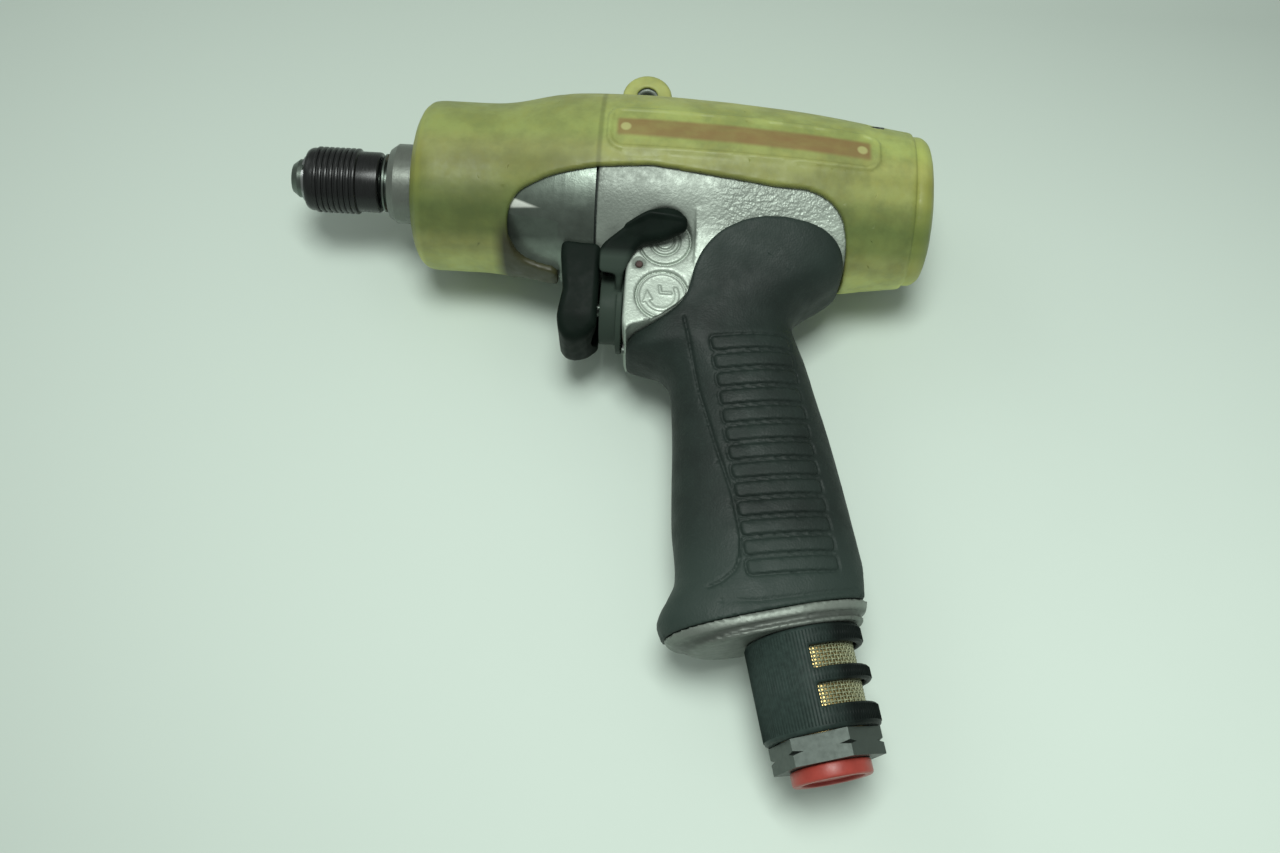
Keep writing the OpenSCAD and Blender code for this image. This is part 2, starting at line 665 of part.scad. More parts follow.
module relief_screw() {
    color("lightgray") relief_place() difference() {
        cylinder(h = 4.2, r = 1.6);
        translate([-0.3, -2, 3.4]) cube([0.6, 4, 2]);
    }
}
module blade_slots(t, r0, r1, x0, x1) {
    for (side = [0, 180]) rotate([side, 0, 0]) translate([x0, -t / 2, r0]) cube([x1 - x0, t, r1 - r0]);
}
module pulse_blades() { color("lightslategray") blade_slots(2.9, 6.2, 11.6, 56.2, 81.8); }
module blade_springs() {
    color("silver") for (x = [63, 75]) translate([x, 0, 0]) rotate([0, -90, 0])
        spring_x(-6.2, 6.2, 1, 0.25, 6);
}
module anvil() {
    tip_r = 5.95;
    color("silver") difference() {
        turned([[0, 0], [tip_r - 1.5, 0], [tip_r, 2], [tip_r, groove_x], [tip_r - 0.6, groove_x],
                [tip_r - 0.6, groove_x + 0.8], [tip_r, groove_x + 0.8], [tip_r, 28.2], [8.2, 28.2],
                [9, 29], [9, 29.5], [7, 29.5],
                [7, liner_front_x], [9.5, liner_front_x + 0.3], [9.5, cavity_back_x - 0.6],
                [5, cavity_back_x - 0.6], [5, cavity_back_x + 2.6], [0, cavity_back_x + 2.6]]);
        along_x(-1) cylinder(h = 14, r = bit_across_flats / sqrt(3), $fn = 6);
        rod_x(-0.01, 0.9, 4);
        for (t = [0, 180]) rotate([t, 0, 0]) translate([chuck_ball_x, 0, 2]) cylinder(h = 6, r = 1.8);
        blade_slots(3, 6.2, 12, 56, 82);
        for (x = [63, 75]) translate([x, 0, -7]) cylinder(h = 14, r = 1.4);
    }
}

// Quick-change chuck
sleeve_front_x = 4.7;
sleeve_back_x = 27.7;
groove_x = 3.6;
chuck_ball_x = 14;
rib_pitch = 1.7;
module chuck_sleeve() {
    ribs = [for (k = [0 : 7], p = [[9.72, 0], [9.72, 0.45], [10.17, 0.7], [10.17, 1.5]])
            [p[0], sleeve_front_x + 2.5 + k * rib_pitch + p[1]]];
    color("#15181b") turned(concat(
        [[8.2, sleeve_front_x], [8.6, sleeve_front_x], [9.3, sleeve_front_x + 0.6],
         [9.72, sleeve_front_x + 1.5], [9.72, sleeve_front_x + 2.5]], ribs,
        [[9.35, sleeve_front_x + 16.2], [9.35, sleeve_back_x - 0.5], [9, sleeve_back_x],
         [6.02, sleeve_back_x], [6.02, 23], [7.7, 23], [7.7, 16], [6.02, 16], [6.02, 12], [8.2, 12]]));
}
module chuck_spring() { color("lightgray") spring_x(6, 12, 7.1, 0.35, 4); }
module chuck_balls() {
    color("silver") for (t = [0, 180]) rotate([t, 0, 0]) translate([chuck_ball_x, 0, 4.15]) sphere(r = 1.75);
}
module chuck_washer() { color("silver") tube_x(5.2, 6, 8.1, 5.95); }
module snap_ring() {
    color("dimgray") difference() {
        tube_x(groove_x, groove_x + 0.8, 7, 5.35);
        translate([groove_x - 1, -0.9, 4]) cube([3, 1.8, 5]);
    }
}

// Air inlet and exhaust at the foot of the handle
inlet_tube_end_s = 160;
module inlet_bushing() {
    corner_r = inlet_across_flats / sqrt(3);
    notch_s = 171.6;
    color("dimgray") in_handle() difference() {
        union() {
            translate([0, -bushing_end_s, 0]) rotate([-90, 0, 0]) rotate([0, 0, 47])
                cylinder(h = bushing_end_s - deflector_end_s, r = corner_r, $fn = 6);
            foot(inlet_tube_end_s, deflector_end_s + 1, 9);
        }
        foot(100, bushing_end_s + 1, inlet_thread_r);
        foot(inlet_tube_end_s - 1, inlet_tube_end_s + 1.3, 6.4);
        foot(bushing_end_s - 2, bushing_end_s + 1, 7.5);
        translate([0, -notch_s, 0]) rotate([-90, 0, 0]) rotate_extrude()
            polygon([[14.3, 0], [17, -1.3], [17, 1.3]]);
    }
}
// Tube between the handle and the bushing, with the groove of its ring
module inlet_tube() {
    color("gray") in_handle() difference() {
        foot(122, inlet_tube_end_s, 9 - 0.02);
        foot(121, inlet_tube_end_s + 1, 4.6);
        foot_ring(144, 146, 8.2, 10);
    }
}
// Round bodies on the handle axis, inside the handle's own frame
module foot(s0, s1, r) { translate([0, -s1, 0]) rotate([-90, 0, 0]) cylinder(h = s1 - s0, r = r); }
module foot_ring(s0, s1, r0, r1) {
    difference() {
        foot(s0, s1, r1);
        foot(s0 - 1, s1 + 1, r0);
    }
}
module bushing_ring() { color("black") in_handle() foot_ring(144, 146, 8.2, 9.6); }
module inlet_strainer() {
    color("lightgray") in_handle() difference() {
        foot(148, 160.5, 4.55);
        foot(149, 161, 3.9);
    }
}
module silencer_mesh() { color("tan") in_handle() foot_ring(flange_end_s, deflector_end_s, 12.6, 13.3); }
module exhaust_deflector() {
    gap = 0.15;
    lip = 14.2;
    windows = [[145, 151.1], [155.3, 161.4]];
    color("#1b2226") in_handle() difference() {
        translate([0, -deflector_end_s + gap, 0]) rotate([-90, 0, 0]) rotate_extrude()
            polygon([[13.6, 0], [deflector_r - 1, 0], [deflector_r, 1.2],
                     [deflector_r, deflector_end_s - flange_end_s - 2 * gap - 0.8],
                     [deflector_r - 0.8, deflector_end_s - flange_end_s - 2 * gap],
                     [lip, deflector_end_s - flange_end_s - 2 * gap], [lip, 2], [13.6, 2]]);
        for (w = windows) translate([-0.8, -w[1], -20]) cube([40, w[1] - w[0], 40]);
    }
}
module transit_plug() {
    color("red") in_handle() difference() {
        union() {
            foot(bushing_end_s + 0.1, bushing_end_s + 4.3, 11.2);
            foot(bushing_end_s - 1.7, bushing_end_s + 0.2, 7.1);
        }
        foot(bushing_end_s + 3.3, bushing_end_s + 6, 8.6);
        foot(bushing_end_s - 4, bushing_end_s + 2, 5.4);
    }
}

front_case();
front_bush();
shaft_seal();
case_gasket();
motor_housing();
protective_cover();
rear_cap();
cap_ring();
motor_washer();
cover_screw();
nameplate();
nameplate_rivets();
grip_rubber();
trigger();
trigger_pin();
trigger_rod();
throttle_valve();
valve_spring();
trigger_bush();
bush_pin();
reverse_lever();
reverse_valve();
detent_ball();
detent_spring();
motor_cylinder();
front_end_plate();
rear_end_plate();
cylinder_dowel();
rotor();
rotor_vanes();
bearing_outer_rings();
bearing_inner_rings();
bearing_balls();
pulse_liner();
liner_lid();
relief_screw();
pulse_blades();
blade_springs();
anvil();
chuck_sleeve();
chuck_spring();
chuck_balls();
chuck_washer();
snap_ring();
inlet_bushing();
inlet_tube();
bushing_ring();
inlet_strainer();
silencer_mesh();
exhaust_deflector();
transit_plug();
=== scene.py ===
"""Models and finishes the visible pieces of a pistol-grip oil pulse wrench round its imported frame.

The cast, moulded and soft pieces are modelled as distance fields, in millimetres, in blocks of space
sampled on a grid, and their skins become meshes in metres. Turned pieces are spun from their profiles,
and whatever repeats is made by node trees. X runs along the output axis from the bit socket to the
rear, Y to the tool's top, and Z out of its left side. Down the handle, s is the distance from the
output axis and o the distance behind the handle axis.
"""

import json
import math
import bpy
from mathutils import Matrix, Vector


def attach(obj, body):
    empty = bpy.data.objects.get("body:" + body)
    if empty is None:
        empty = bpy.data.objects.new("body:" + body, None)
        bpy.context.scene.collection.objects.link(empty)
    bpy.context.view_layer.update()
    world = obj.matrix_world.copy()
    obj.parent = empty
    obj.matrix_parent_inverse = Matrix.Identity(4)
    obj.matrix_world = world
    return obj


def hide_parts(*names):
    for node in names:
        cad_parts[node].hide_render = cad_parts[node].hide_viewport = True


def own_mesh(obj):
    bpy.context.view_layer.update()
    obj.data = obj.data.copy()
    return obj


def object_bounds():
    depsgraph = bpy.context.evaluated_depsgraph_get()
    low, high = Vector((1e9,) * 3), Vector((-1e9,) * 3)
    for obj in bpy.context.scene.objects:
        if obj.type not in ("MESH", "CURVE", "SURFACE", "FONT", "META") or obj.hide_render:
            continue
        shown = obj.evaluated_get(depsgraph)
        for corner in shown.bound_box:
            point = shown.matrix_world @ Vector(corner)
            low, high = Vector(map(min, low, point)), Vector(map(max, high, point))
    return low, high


bl_info = {
    "name": "Oil Pulse Wrench Finish",
    "version": (1, 0, 0),
    "blender": (4, 5, 0),
    "location": "3D View > Sidebar > Pulse Wrench",
    "description": "Models and finishes the visible pieces of a pistol-grip oil pulse wrench",
    "category": "Object",
}

import bpy
import numpy as np
import openvdb
from bpy.props import FloatProperty, FloatVectorProperty, IntProperty, PointerProperty
from mathutils import Matrix, Vector

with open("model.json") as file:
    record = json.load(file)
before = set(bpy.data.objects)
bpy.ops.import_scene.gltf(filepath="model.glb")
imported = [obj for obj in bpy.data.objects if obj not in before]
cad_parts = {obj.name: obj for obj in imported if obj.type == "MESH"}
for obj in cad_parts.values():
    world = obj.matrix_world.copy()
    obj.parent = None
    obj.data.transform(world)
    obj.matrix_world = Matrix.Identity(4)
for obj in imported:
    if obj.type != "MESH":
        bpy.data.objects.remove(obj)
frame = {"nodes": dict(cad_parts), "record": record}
CAD_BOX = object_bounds()
NODES = frame["nodes"]
FINISHES = {}
MM = 0.001
X, Y, Z = (1, 0, 0), (0, 1, 0), (0, 0, 1)
# More than any squared distance that is measured
FAR = 1e9
# Faces of turned pieces that meet more steeply than this, in degrees, keep their edge
SHARP_ANGLE = 28

# Sizes of the construction that the finished pieces share with it, in millimetres.
# Barrel and cover: turned outlines are [x, radius], the window is [x, y] and its tongue [x, half width]
SEAM_X = 96.0
COVER_WALL = 2.4
COVER_CLEARANCE = 0.22
BARREL_START, BARREL_END = 46.1, 190.2
BARREL = [[46.1, 26.1], [52, 26.1], [62, 26.15], [67, 26.5], [72, 27.4], [77, 28.6], [82, 29.7],
          [88, 30.5], [98, 30.9], [112, 31], [124, 30.6], [135, 30.1], [146, 29.3],
          [157, 28.4], [168, 27.1], [179, 25.5], [186, 24.5], [190.2, 23.95]]
COVER_NOSE = [[38.5, 12.7], [39, 16.6], [40.1, 20.8], [41.7, 23.9], [43.7, 25.6]]
COVER_TAIL = [[190.4, 22.7], [191, 22.5], [191.6, 23], [193.6, 22.6], [195.3, 21.2], [196.4, 18],
              [197.1, 10], [197.4, 0]]
CASE_NOSE = [[40.9, 12.3], [41.4, 15.6], [42.4, 18.9], [43.9, 21.6], [45.7, 23.1]]
CAP_TAIL = [[190, 20.2], [192.6, 19.6], [193.7, 17.2], [194.4, 10], [194.7, 0]]
NECK_RADIUS = 12.3
HOUSING_END_X = 183.0
WINDOW = [[71.8, -60], [71.8, -27], [69.8, -21.5], [70.2, -16.6], [73.4, -12.6], [82, -9.4],
          [95, -6.6], [112, -5.2], [130, -7], [149, -8.6], [158.5, -8.6], [164.4, -10.6],
          [168.6, -14.4], [170.7, -20], [171.3, -28], [171.3, -60]]
TONGUE = [[66, 0], [66, 15], [70.5, 12], [72.4, 8], [75, 5.6], [79, 4.8], [83.6, 4.6], [85, 3.4],
          [85.2, 0]]
EAR = (108.5, 33.8)
EAR_RADIUS, EAR_HALF = 5.6, 3.0
PLATE_X = 138.8
PLATE_TURN = math.radians(12)
SCREW_X = 179.0
SCREW_TURN = math.radians(53)

# Handle and foot: outlines are [s, o] or [s, half width], and the rubber's and the boss's are [x, y]
HANDLE_X = 128.1
HANDLE_LEAN = math.radians(14)
GRIP_FRONT = [[15, -26.5], [30, -30.2], [45, -34], [49, -34.8], [50.5, -33], [52, -29.4], [54, -26],
              [57, -23.6], [61, -22.4], [68, -23.2], [80, -25.3], [92, -27.8], [104, -30],
              [113, -30.9], [119, -32.2], [122, -34.2], [126, -37.4], [129.5, -39.2], [134, -38.6]]
GRIP_REAR = [[15, 33], [22, 36], [30, 37.6], [34, 37], [37, 34.9], [39.5, 31.2], [42, 25.5], [45, 20],
             [49, 17.2], [54, 17.4], [62, 18.5], [72, 19.2], [84, 20.1], [100, 20.7], [118, 21],
             [134, 21.3]]
GRIP_WIDTH = [[15, 26], [20, 23.6], [26, 21.6], [32, 19.6], [36, 18.2], [40, 17.5], [50, 16.9],
              [62, 16.6], [80, 16.6], [100, 17], [118, 17.2], [134, 17.4]]
FLANGE_FRONT = [[134, -38], [136, -36.6], [138, -33.2], [139.4, -29]]
FLANGE_REAR = [[134, 20], [136, 19.2], [138, 18.2], [139.4, 17.4]]
FLANGE_WIDTH = [[134, 17.3], [136, 17.2], [138, 17], [139.4, 16.7]]
SECTION_POWER = [[15, 4], [34, 4], [42, 2.5], [140, 2.5]]
GRIP = (GRIP_FRONT, GRIP_REAR, GRIP_WIDTH)
FLANGE = (FLANGE_FRONT, FLANGE_REAR, FLANGE_WIDTH)
GRIP_END_S = 133.8
RUBBER_WALL, CORE_INSET = 2.35, 2.5
FLANGE_START_S = 134.0
FLANGE_END_S = 139.4
DEFLECTOR_END_S = 167.8
DEFLECTOR_RADIUS = 16.5
DEFLECTOR_WINDOWS = [(145.0, 151.1), (155.3, 161.4)]
KNURL_HEIGHT = 0.2
BUSHING_END_S = 175.3
RUBBER_OUTLINE = [[107.4, -64], [107.4, -51], [111.4, -50], [114.8, -48.6], [118.2, -46.4],
                  [121.6, -43.7], [124, -40.7], [125.2, -37.2], [126, -32.5], [127.8, -28],
                  [130.5, -24.2], [134, -20.9], [139.8, -17.8], [146, -16.2], [152.1, -15.8],
                  [158.4, -16.2], [163.8, -17.2], [167.2, -19], [169.6, -21.6], [170.8, -25],
                  [171, -50], [210, -150], [95, -150]]
BOSS_OUTLINE = [[106, -24], [106, -49.8], [107.2, -52.8], [109, -54.6], [119, -58], [134, -46],
                [137, -14], [112, -14]]
BOSS_HALF = 17.0
DIALS = [(117.2, -23.6), (117.2, -41.0)]
DIAL_RADIUS, DIAL_DEPTH, DIAL_CLEARANCE = 7.85, 1.3, 0.1
LEVER_PIN = (110, -31)

# Trigger and lever: the edge is [half width, y], and the wing has a plan [x, y], a side [x, z] and a
# section [y, z]
TRIGGER_Y = -39.0
TRIGGER_OUTLINE = [[86.4, -18], [86.5, -28], [87.3, -34.5], [87.8, -38.5], [87, -43], [86.5, -46.5],
                   [87.1, -50], [89, -52.8], [91.8, -53.6], [95.4, -52], [98.4, -48.6], [98.4, -18]]
TRIGGER_EDGE = [[15.6, -10], [15.6, -25], [14.8, -33], [13.5, -40], [12.4, -46], [8.6, -54.5]]
RING_FRONT_X, RING_REAR_X = 98.9, 105.7
WING_PLAN = [[97.6, -45], [97.6, -29.2], [99.6, -26.6], [105.6, -22.2], [109.6, -19.2], [113, -17.6],
             [117.5, -16.7], [121.4, -17.5], [123.7, -20.2], [123.9, -22.2], [121.6, -23.4],
             [115.8, -25.5], [111.1, -26.1], [108.9, -27.9], [106.9, -31.9], [105.7, -36], [105.7, -45]]
WING_SIDE = [[103.2, 2], [103.2, 16], [97.6, 16.5], [97.6, 20.2], [100.2, 23.6], [105, 25.8],
             [111, 26.8], [119, 26.4], [123, 25.2], [124.6, 23.5], [124.6, 21.4], [119, 19.2],
             [113, 17.9], [107.2, 17.6], [105.7, 16.2], [105.7, 2]]
WING_SECTION = [[-40, 2], [-39, 9], [-37, 13.6], [-34.4, 17.6], [-31.4, 19.6], [-27.2, 21.4], [-17.8, 26.8],
                [-15, 25.6], [-15, 18], [-22, 2]]

# Lines in the rubber on each cheek, as places (s, o) in the handle's frame
GRIP_SEAM = [(44.8, -15.4), (55.7, -15.2), (67.6, -15.2), (84.9, -14.0), (99.6, -12.5), (112, -12.6),
             (117.5, -13.9), (119.9, -15.0), (121.6, -16.4), (122.7, -18.4), (123.8, -20.6), (124.4, -24)]
GRIP_FOOT_LINE = [(128.9, -21.8), (131.0, -11.4), (131.6, -0.6), (131.9, 15.6)]
GRIP_CREASE = [(40, 33), (42, 26.5), (44, 21.3), (46.3, 17.8)]

# Across the barrel, from its upper to its lower edge as the camera sees it, along which the cover's and the
# case's light and shade are painted
BENEATH = (0.0, -0.94, -0.342)
# Half thickness of a shape that goes right through the tool
THROUGH = 60
# Cosine, about the handle's axis, of where the deflector's windows end
WINDOW_EDGE_COSINE = -0.09

# Camera, in millimetres and pixels of the photograph
CAMERA_PLACE = (122.21, -221.29, 400.18)
CAMERA_TARGET = (113.06, -75.92, 0.0)
FOCAL_PIXELS = 1450.0
PHOTO_WIDTH = 1280.0
# Width of the floor, and the point that the lamps are turned to, in metres
FLOOR_SIZE = 5.0
LAMP_TARGET = (0.11, -0.06, 0.0)


# Distance fields: arrays of distances in millimetres, negative inside a body

def smooth_curve(table, at):
    """Catmull-Rom interpolation in a table of [place, value]."""
    places, values = np.array(table, float).T
    at = np.clip(np.asarray(at, float), places[0], places[-1])
    i = np.clip(np.searchsorted(places, at, side="right") - 1, 0, len(table) - 2)
    before, after = np.maximum(i - 1, 0), np.minimum(i + 2, len(table) - 1)
    width = places[i + 1] - places[i]
    u = (at - places[i]) / width
    slope_in = (values[i + 1] - values[before]) / (places[i + 1] - places[before]) * width
    slope_out = (values[after] - values[i]) / (places[after] - places[i]) * width
    return ((2 * u ** 3 - 3 * u ** 2 + 1) * values[i] + (u ** 3 - 2 * u ** 2 + u) * slope_in
            + (3 * u ** 2 - 2 * u ** 3) * values[i + 1] + (u ** 3 - u ** 2) * slope_out)


def path_distance(path, u, v):
    """Distance from the points (u, v) to an open line through places."""
    nearest = np.full(np.broadcast_shapes(u.shape, v.shape), FAR, np.float32)
    for (au, av), (bu, bv) in zip(path, path[1:]):
        eu, ev = bu - au, bv - av
        length = eu * eu + ev * ev
        if length > 0:
            t = np.clip(((u - au) * eu + (v - av) * ev) / length, 0, 1)
            nearest = np.minimum(nearest, (u - au - eu * t) ** 2 + (v - av - ev * t) ** 2)
    return np.sqrt(nearest)


def outline_distance(outline, u, v):
    """Distance from the points (u, v) to a closed outline, negative inside."""
    corners = np.array([*outline, outline[0]], np.float32)
    inside = np.zeros(np.broadcast_shapes(u.shape, v.shape), bool)
    for (au, av), (bu, bv) in zip(corners, corners[1:]):
        if bv != av:
            inside ^= ((av > v) != (bv > v)) & (u - au < (bu - au) * (v - av) / (bv - av))
    return np.where(inside, -1, 1) * path_distance(corners, u, v)


def between(low, value, high):
    """Distance to the stretch where a value lies between two limits."""
    return np.maximum(low - value, value - high)


def rounded(u, v, radius):
    """Distance to a corner of this radius that two distances meet in."""
    return np.hypot(np.maximum(u, 0), np.maximum(v, 0)) - radius


def ramp(field, edge, width):
    """1 well below the edge and 0 well above it, with a smooth step of this width between."""
    t = np.clip((edge - field) / width + 0.5, 0, 1)
    return t * t * (3 - 2 * t)


def mirrored(half):
    """Closes half an outline [u, v] by its mirror image in v."""
    return [list(p) for p in half] + [[u, -v] for u, v in reversed(half)]


def union(a, b, fillet=0.0):
    """Joins two bodies, with a fillet of about this radius between them."""
    if fillet == 0:
        return np.minimum(a, b)
    overlap = np.maximum(fillet - np.abs(a - b), 0) / fillet
    return np.minimum(a, b) - overlap * overlap * fillet / 4


def common(a, b, fillet=0.0):
    """Keeps what two bodies share, with their meeting edge rounded."""
    return -union(-a, -b, fillet)


def cut(a, b, fillet=0.0):
    """Takes the second body out of the first, with the edge rounded."""
    return common(a, -b, fillet)


def soften(field, radius, step):
    """Rounds the edges and fills the corners of a distance field."""
    sigma = radius / step
    reach = max(1, math.ceil(2.5 * sigma))
    taps = np.exp(-0.5 * (np.arange(-reach, reach + 1) / sigma) ** 2)
    taps /= taps.sum()
    for axis, size in enumerate(field.shape):
        if size == 1:
            continue
        padded = np.pad(field, [(reach, reach) if a == axis else (0, 0) for a in range(field.ndim)],
                        mode="reflect", reflect_type="odd")
        result = np.zeros(field.shape, np.float32)
        for k, weight in enumerate(taps):
            window = [slice(None)] * field.ndim
            window[axis] = slice(k, k + size)
            result += np.float32(weight) * padded[tuple(window)]
        field = result
    return field


class Block:
    """A block of space on a grid, in millimetres, where a piece is modelled as a distance field."""

    def __init__(self, low, high, step):
        self.low = np.array(low, float)
        self.step = step
        axes = [np.arange(a, b + step, step, dtype=np.float32) for a, b in zip(low, high)]
        self.x, self.y, self.z = np.meshgrid(*axes, indexing="ij", sparse=True)
        self.radius = np.hypot(self.y, self.z)
        away = self.x - HANDLE_X
        self.s = away * math.sin(HANDLE_LEAN) - self.y * math.cos(HANDLE_LEAN)
        self.o = away * math.cos(HANDLE_LEAN) + self.y * math.sin(HANDLE_LEAN)

    def turned(self, outline, softness=0.0):
        """Distance to a body turned about the output axis, from its outline of [x, radius]."""
        fine = self.step / 2
        radii = np.arange(0, float(self.radius.max()) + 2 * fine, fine, dtype=np.float32)
        both_sides = np.concatenate([-radii[:0:-1], radii])
        table = outline_distance(mirrored(outline), self.x[:, :, 0], both_sides[None, :])
        if softness:
            table = soften(table, softness, self.step)
        table = table[:, len(radii) - 1:]
        place = self.radius[0] / fine
        below = np.minimum(place.astype(int), len(radii) - 2)
        part = (place - below).astype(np.float32)
        return table[:, below] * (1 - part) + table[:, below + 1] * part

    def from_bar(self, x, y):
        """Distance from a line across the tool."""
        return np.hypot(self.x - x, self.y - y)

    def rod_x(self, x0, x1, radius, y=0.0):
        """Distance to a round bar along X."""
        return np.maximum(np.hypot(self.y - y, self.z) - radius, between(x0, self.x, x1))

    def foot(self, s0, s1, radius):
        """Distance to a round bar down the handle."""
        return np.maximum(np.hypot(self.o, self.z) - radius, between(s0, self.s, s1))

    def drawn(self, outline, plane, softness=0.0):
        """Distance to an outline drawn in a plane such as "xy", the same at every depth."""
        flat = outline_distance(outline, *(getattr(self, axis) for axis in plane))
        return soften(flat, softness, self.step) if softness else flat

    def slab(self, outline, half, softness=0.0, edge=0.0):
        """Distance to an outline in x and y that is raised to both sides of the mid-plane."""
        return common(self.drawn(outline, "xy", softness), np.abs(self.z) - half, edge)

    def handle(self, outlines, s0, s1, inset=0.0):
        """Distance to a body along the handle from its front, rear and half width, rounded by a power law."""
        front, rear, width = (smooth_curve(outline, self.s) for outline in outlines)
        front, rear, width = front + inset, rear - inset, width - inset
        centre, half = (front + rear) / 2, (rear - front) / 2
        power = smooth_curve(SECTION_POWER, self.s)
        ratio = (np.abs(self.o - centre) / half) ** power + (np.abs(self.z) / width) ** power
        ratio = (ratio ** (1 / power) - 1).astype(np.float32)
        ratio = np.clip(ratio, -0.9, 3) * 20
        slope = np.sqrt(sum(g * g for g in np.gradient(ratio, self.step)))
        side = ratio / np.maximum(slope, 0.3)
        return np.maximum(side, between(s0, self.s, s1)).astype(np.float32)


def barrel_run(x0, x1, inset):
    """Outline of the barrel between two places, sunk by an inset, with a point every millimetre."""
    places = np.linspace(x0, x1, max(2, round(x1 - x0) + 1))
    return [[x, r - inset] for x, r in zip(places, smooth_curve(BARREL, places))]


# Meshes

def new_object(name, data):
    """Adds an object to the scene."""
    thing = bpy.data.objects.new(name, data)
    bpy.context.scene.collection.objects.link(thing)
    return thing


def mesh_object(name, points, faces, finish, sharp=None):
    """Makes a piece from points in metres; faces that meet more steeply than sharp keep their edge."""
    mesh = bpy.data.meshes.new(name)
    mesh.from_pydata(points, [], faces)
    mesh.validate()
    mesh.shade_smooth()
    if sharp:
        mesh.set_sharp_from_angle(angle=math.radians(sharp))
    mesh.materials.append(FINISHES[finish])
    return new_object(name, mesh)


def skin(name, block, field, finish, adaptivity=0.0):
    """Turns a distance field into a mesh piece with its faces outwards."""
    band = np.float32(4 * block.step)
    grid = openvdb.FloatGrid(float(band))
    grid.copyFromArray(np.ascontiguousarray(np.clip(field, -band, band), dtype=np.float32))
    points, triangles, quads = grid.convertToPolygons(isovalue=0.0, adaptivity=adaptivity)
    points = (points * block.step + block.low) * MM
    faces = np.concatenate([np.array(triangles, np.int64).reshape(-1, 3)[:, [0, 1, 2, 2]],
                            np.array(quads, np.int64).reshape(-1, 4)])
    a, b, c, d = (points[faces[:, k]] for k in range(4))
    volume = np.einsum("ij,ij->i", a, np.cross(b, c)).sum() + np.einsum("ij,ij->i", a, np.cross(c, d)).sum()
    turn = -1 if volume < 0 else 1
    lists = [list(face)[::turn] for face in triangles.tolist() + quads.tolist()]
    print(f"{name}: {len(triangles) + 2 * len(quads)} triangles")
    return mesh_object(name, points.tolist(), lists, finish)


def spun(name, profile, finish, segments=128, seat=None):
    """Makes a turned piece from a closed profile of [place along the axis, radius] in millimetres."""
    points, rows = [], []
    for place, radius in profile:
        if radius == 0:
            rows.append([len(points)] * segments)
            points.append((place, 0.0, 0.0))
            continue
        rows.append(list(range(len(points), len(points) + segments)))
        for k in range(segments):
            t = math.tau * k / segments
            points.append((place, radius * math.cos(t), radius * math.sin(t)))
    faces = []
    for row, following in zip(rows, rows[1:] + rows[:1]):
        if row[0] == row[1] and following[0] == following[1]:
            continue
        for k in range(segments):
            j = (k + 1) % segments
            faces.append(list(dict.fromkeys((row[k], row[j], following[j], following[k]))))
    area = sum(a[0] * b[1] - b[0] * a[1] for a, b in zip(profile, profile[1:] + profile[:1]))
    if area < 0:
        faces = [face[::-1] for face in faces]
    seat = seat or Matrix.Identity(4)
    points = [tuple((seat @ Vector(p)) * MM) for p in points]
    return mesh_object(name, points, faces, finish, SHARP_ANGLE)


def foot_matrix():
    """From an axis along X to the axis down the handle, in millimetres."""
    return Matrix.Translation((HANDLE_X, 0, 0)) @ Matrix.Rotation(HANDLE_LEAN - math.pi / 2, 4, "Z")


# Node trees

class Graph:
    """Writes a node tree: each call adds a node, fills or links its inputs, and returns it."""

    def __init__(self, tree):
        self.tree = tree

    def __call__(self, kind, inputs=None, **settings):
        node = self.tree.nodes.new(kind)
        for key, value in settings.items():
            setattr(node, key, value)
        for key, value in (inputs or {}).items():
            self.fill(node.inputs[key], value)
        return node

    def fill(self, socket, value):
        """Links a socket to a node or another socket, or sets its number, vector or colour."""
        if isinstance(value, bpy.types.Node):
            value = value.outputs[0]
        if isinstance(value, bpy.types.NodeSocket):
            self.tree.links.new(value, socket)
        else:
            socket.default_value = value

    def math(self, operation, a, b=0.0):
        return self("ShaderNodeMath", {0: a, 1: b}, operation=operation)

    def add(self, first, *others):
        """Sum of values."""
        for other in others:
            first = self.math("ADD", first, other)
        return first

    def times(self, first, *others):
        """Product of values."""
        for other in others:
            first = self.math("MULTIPLY", first, other)
        return first


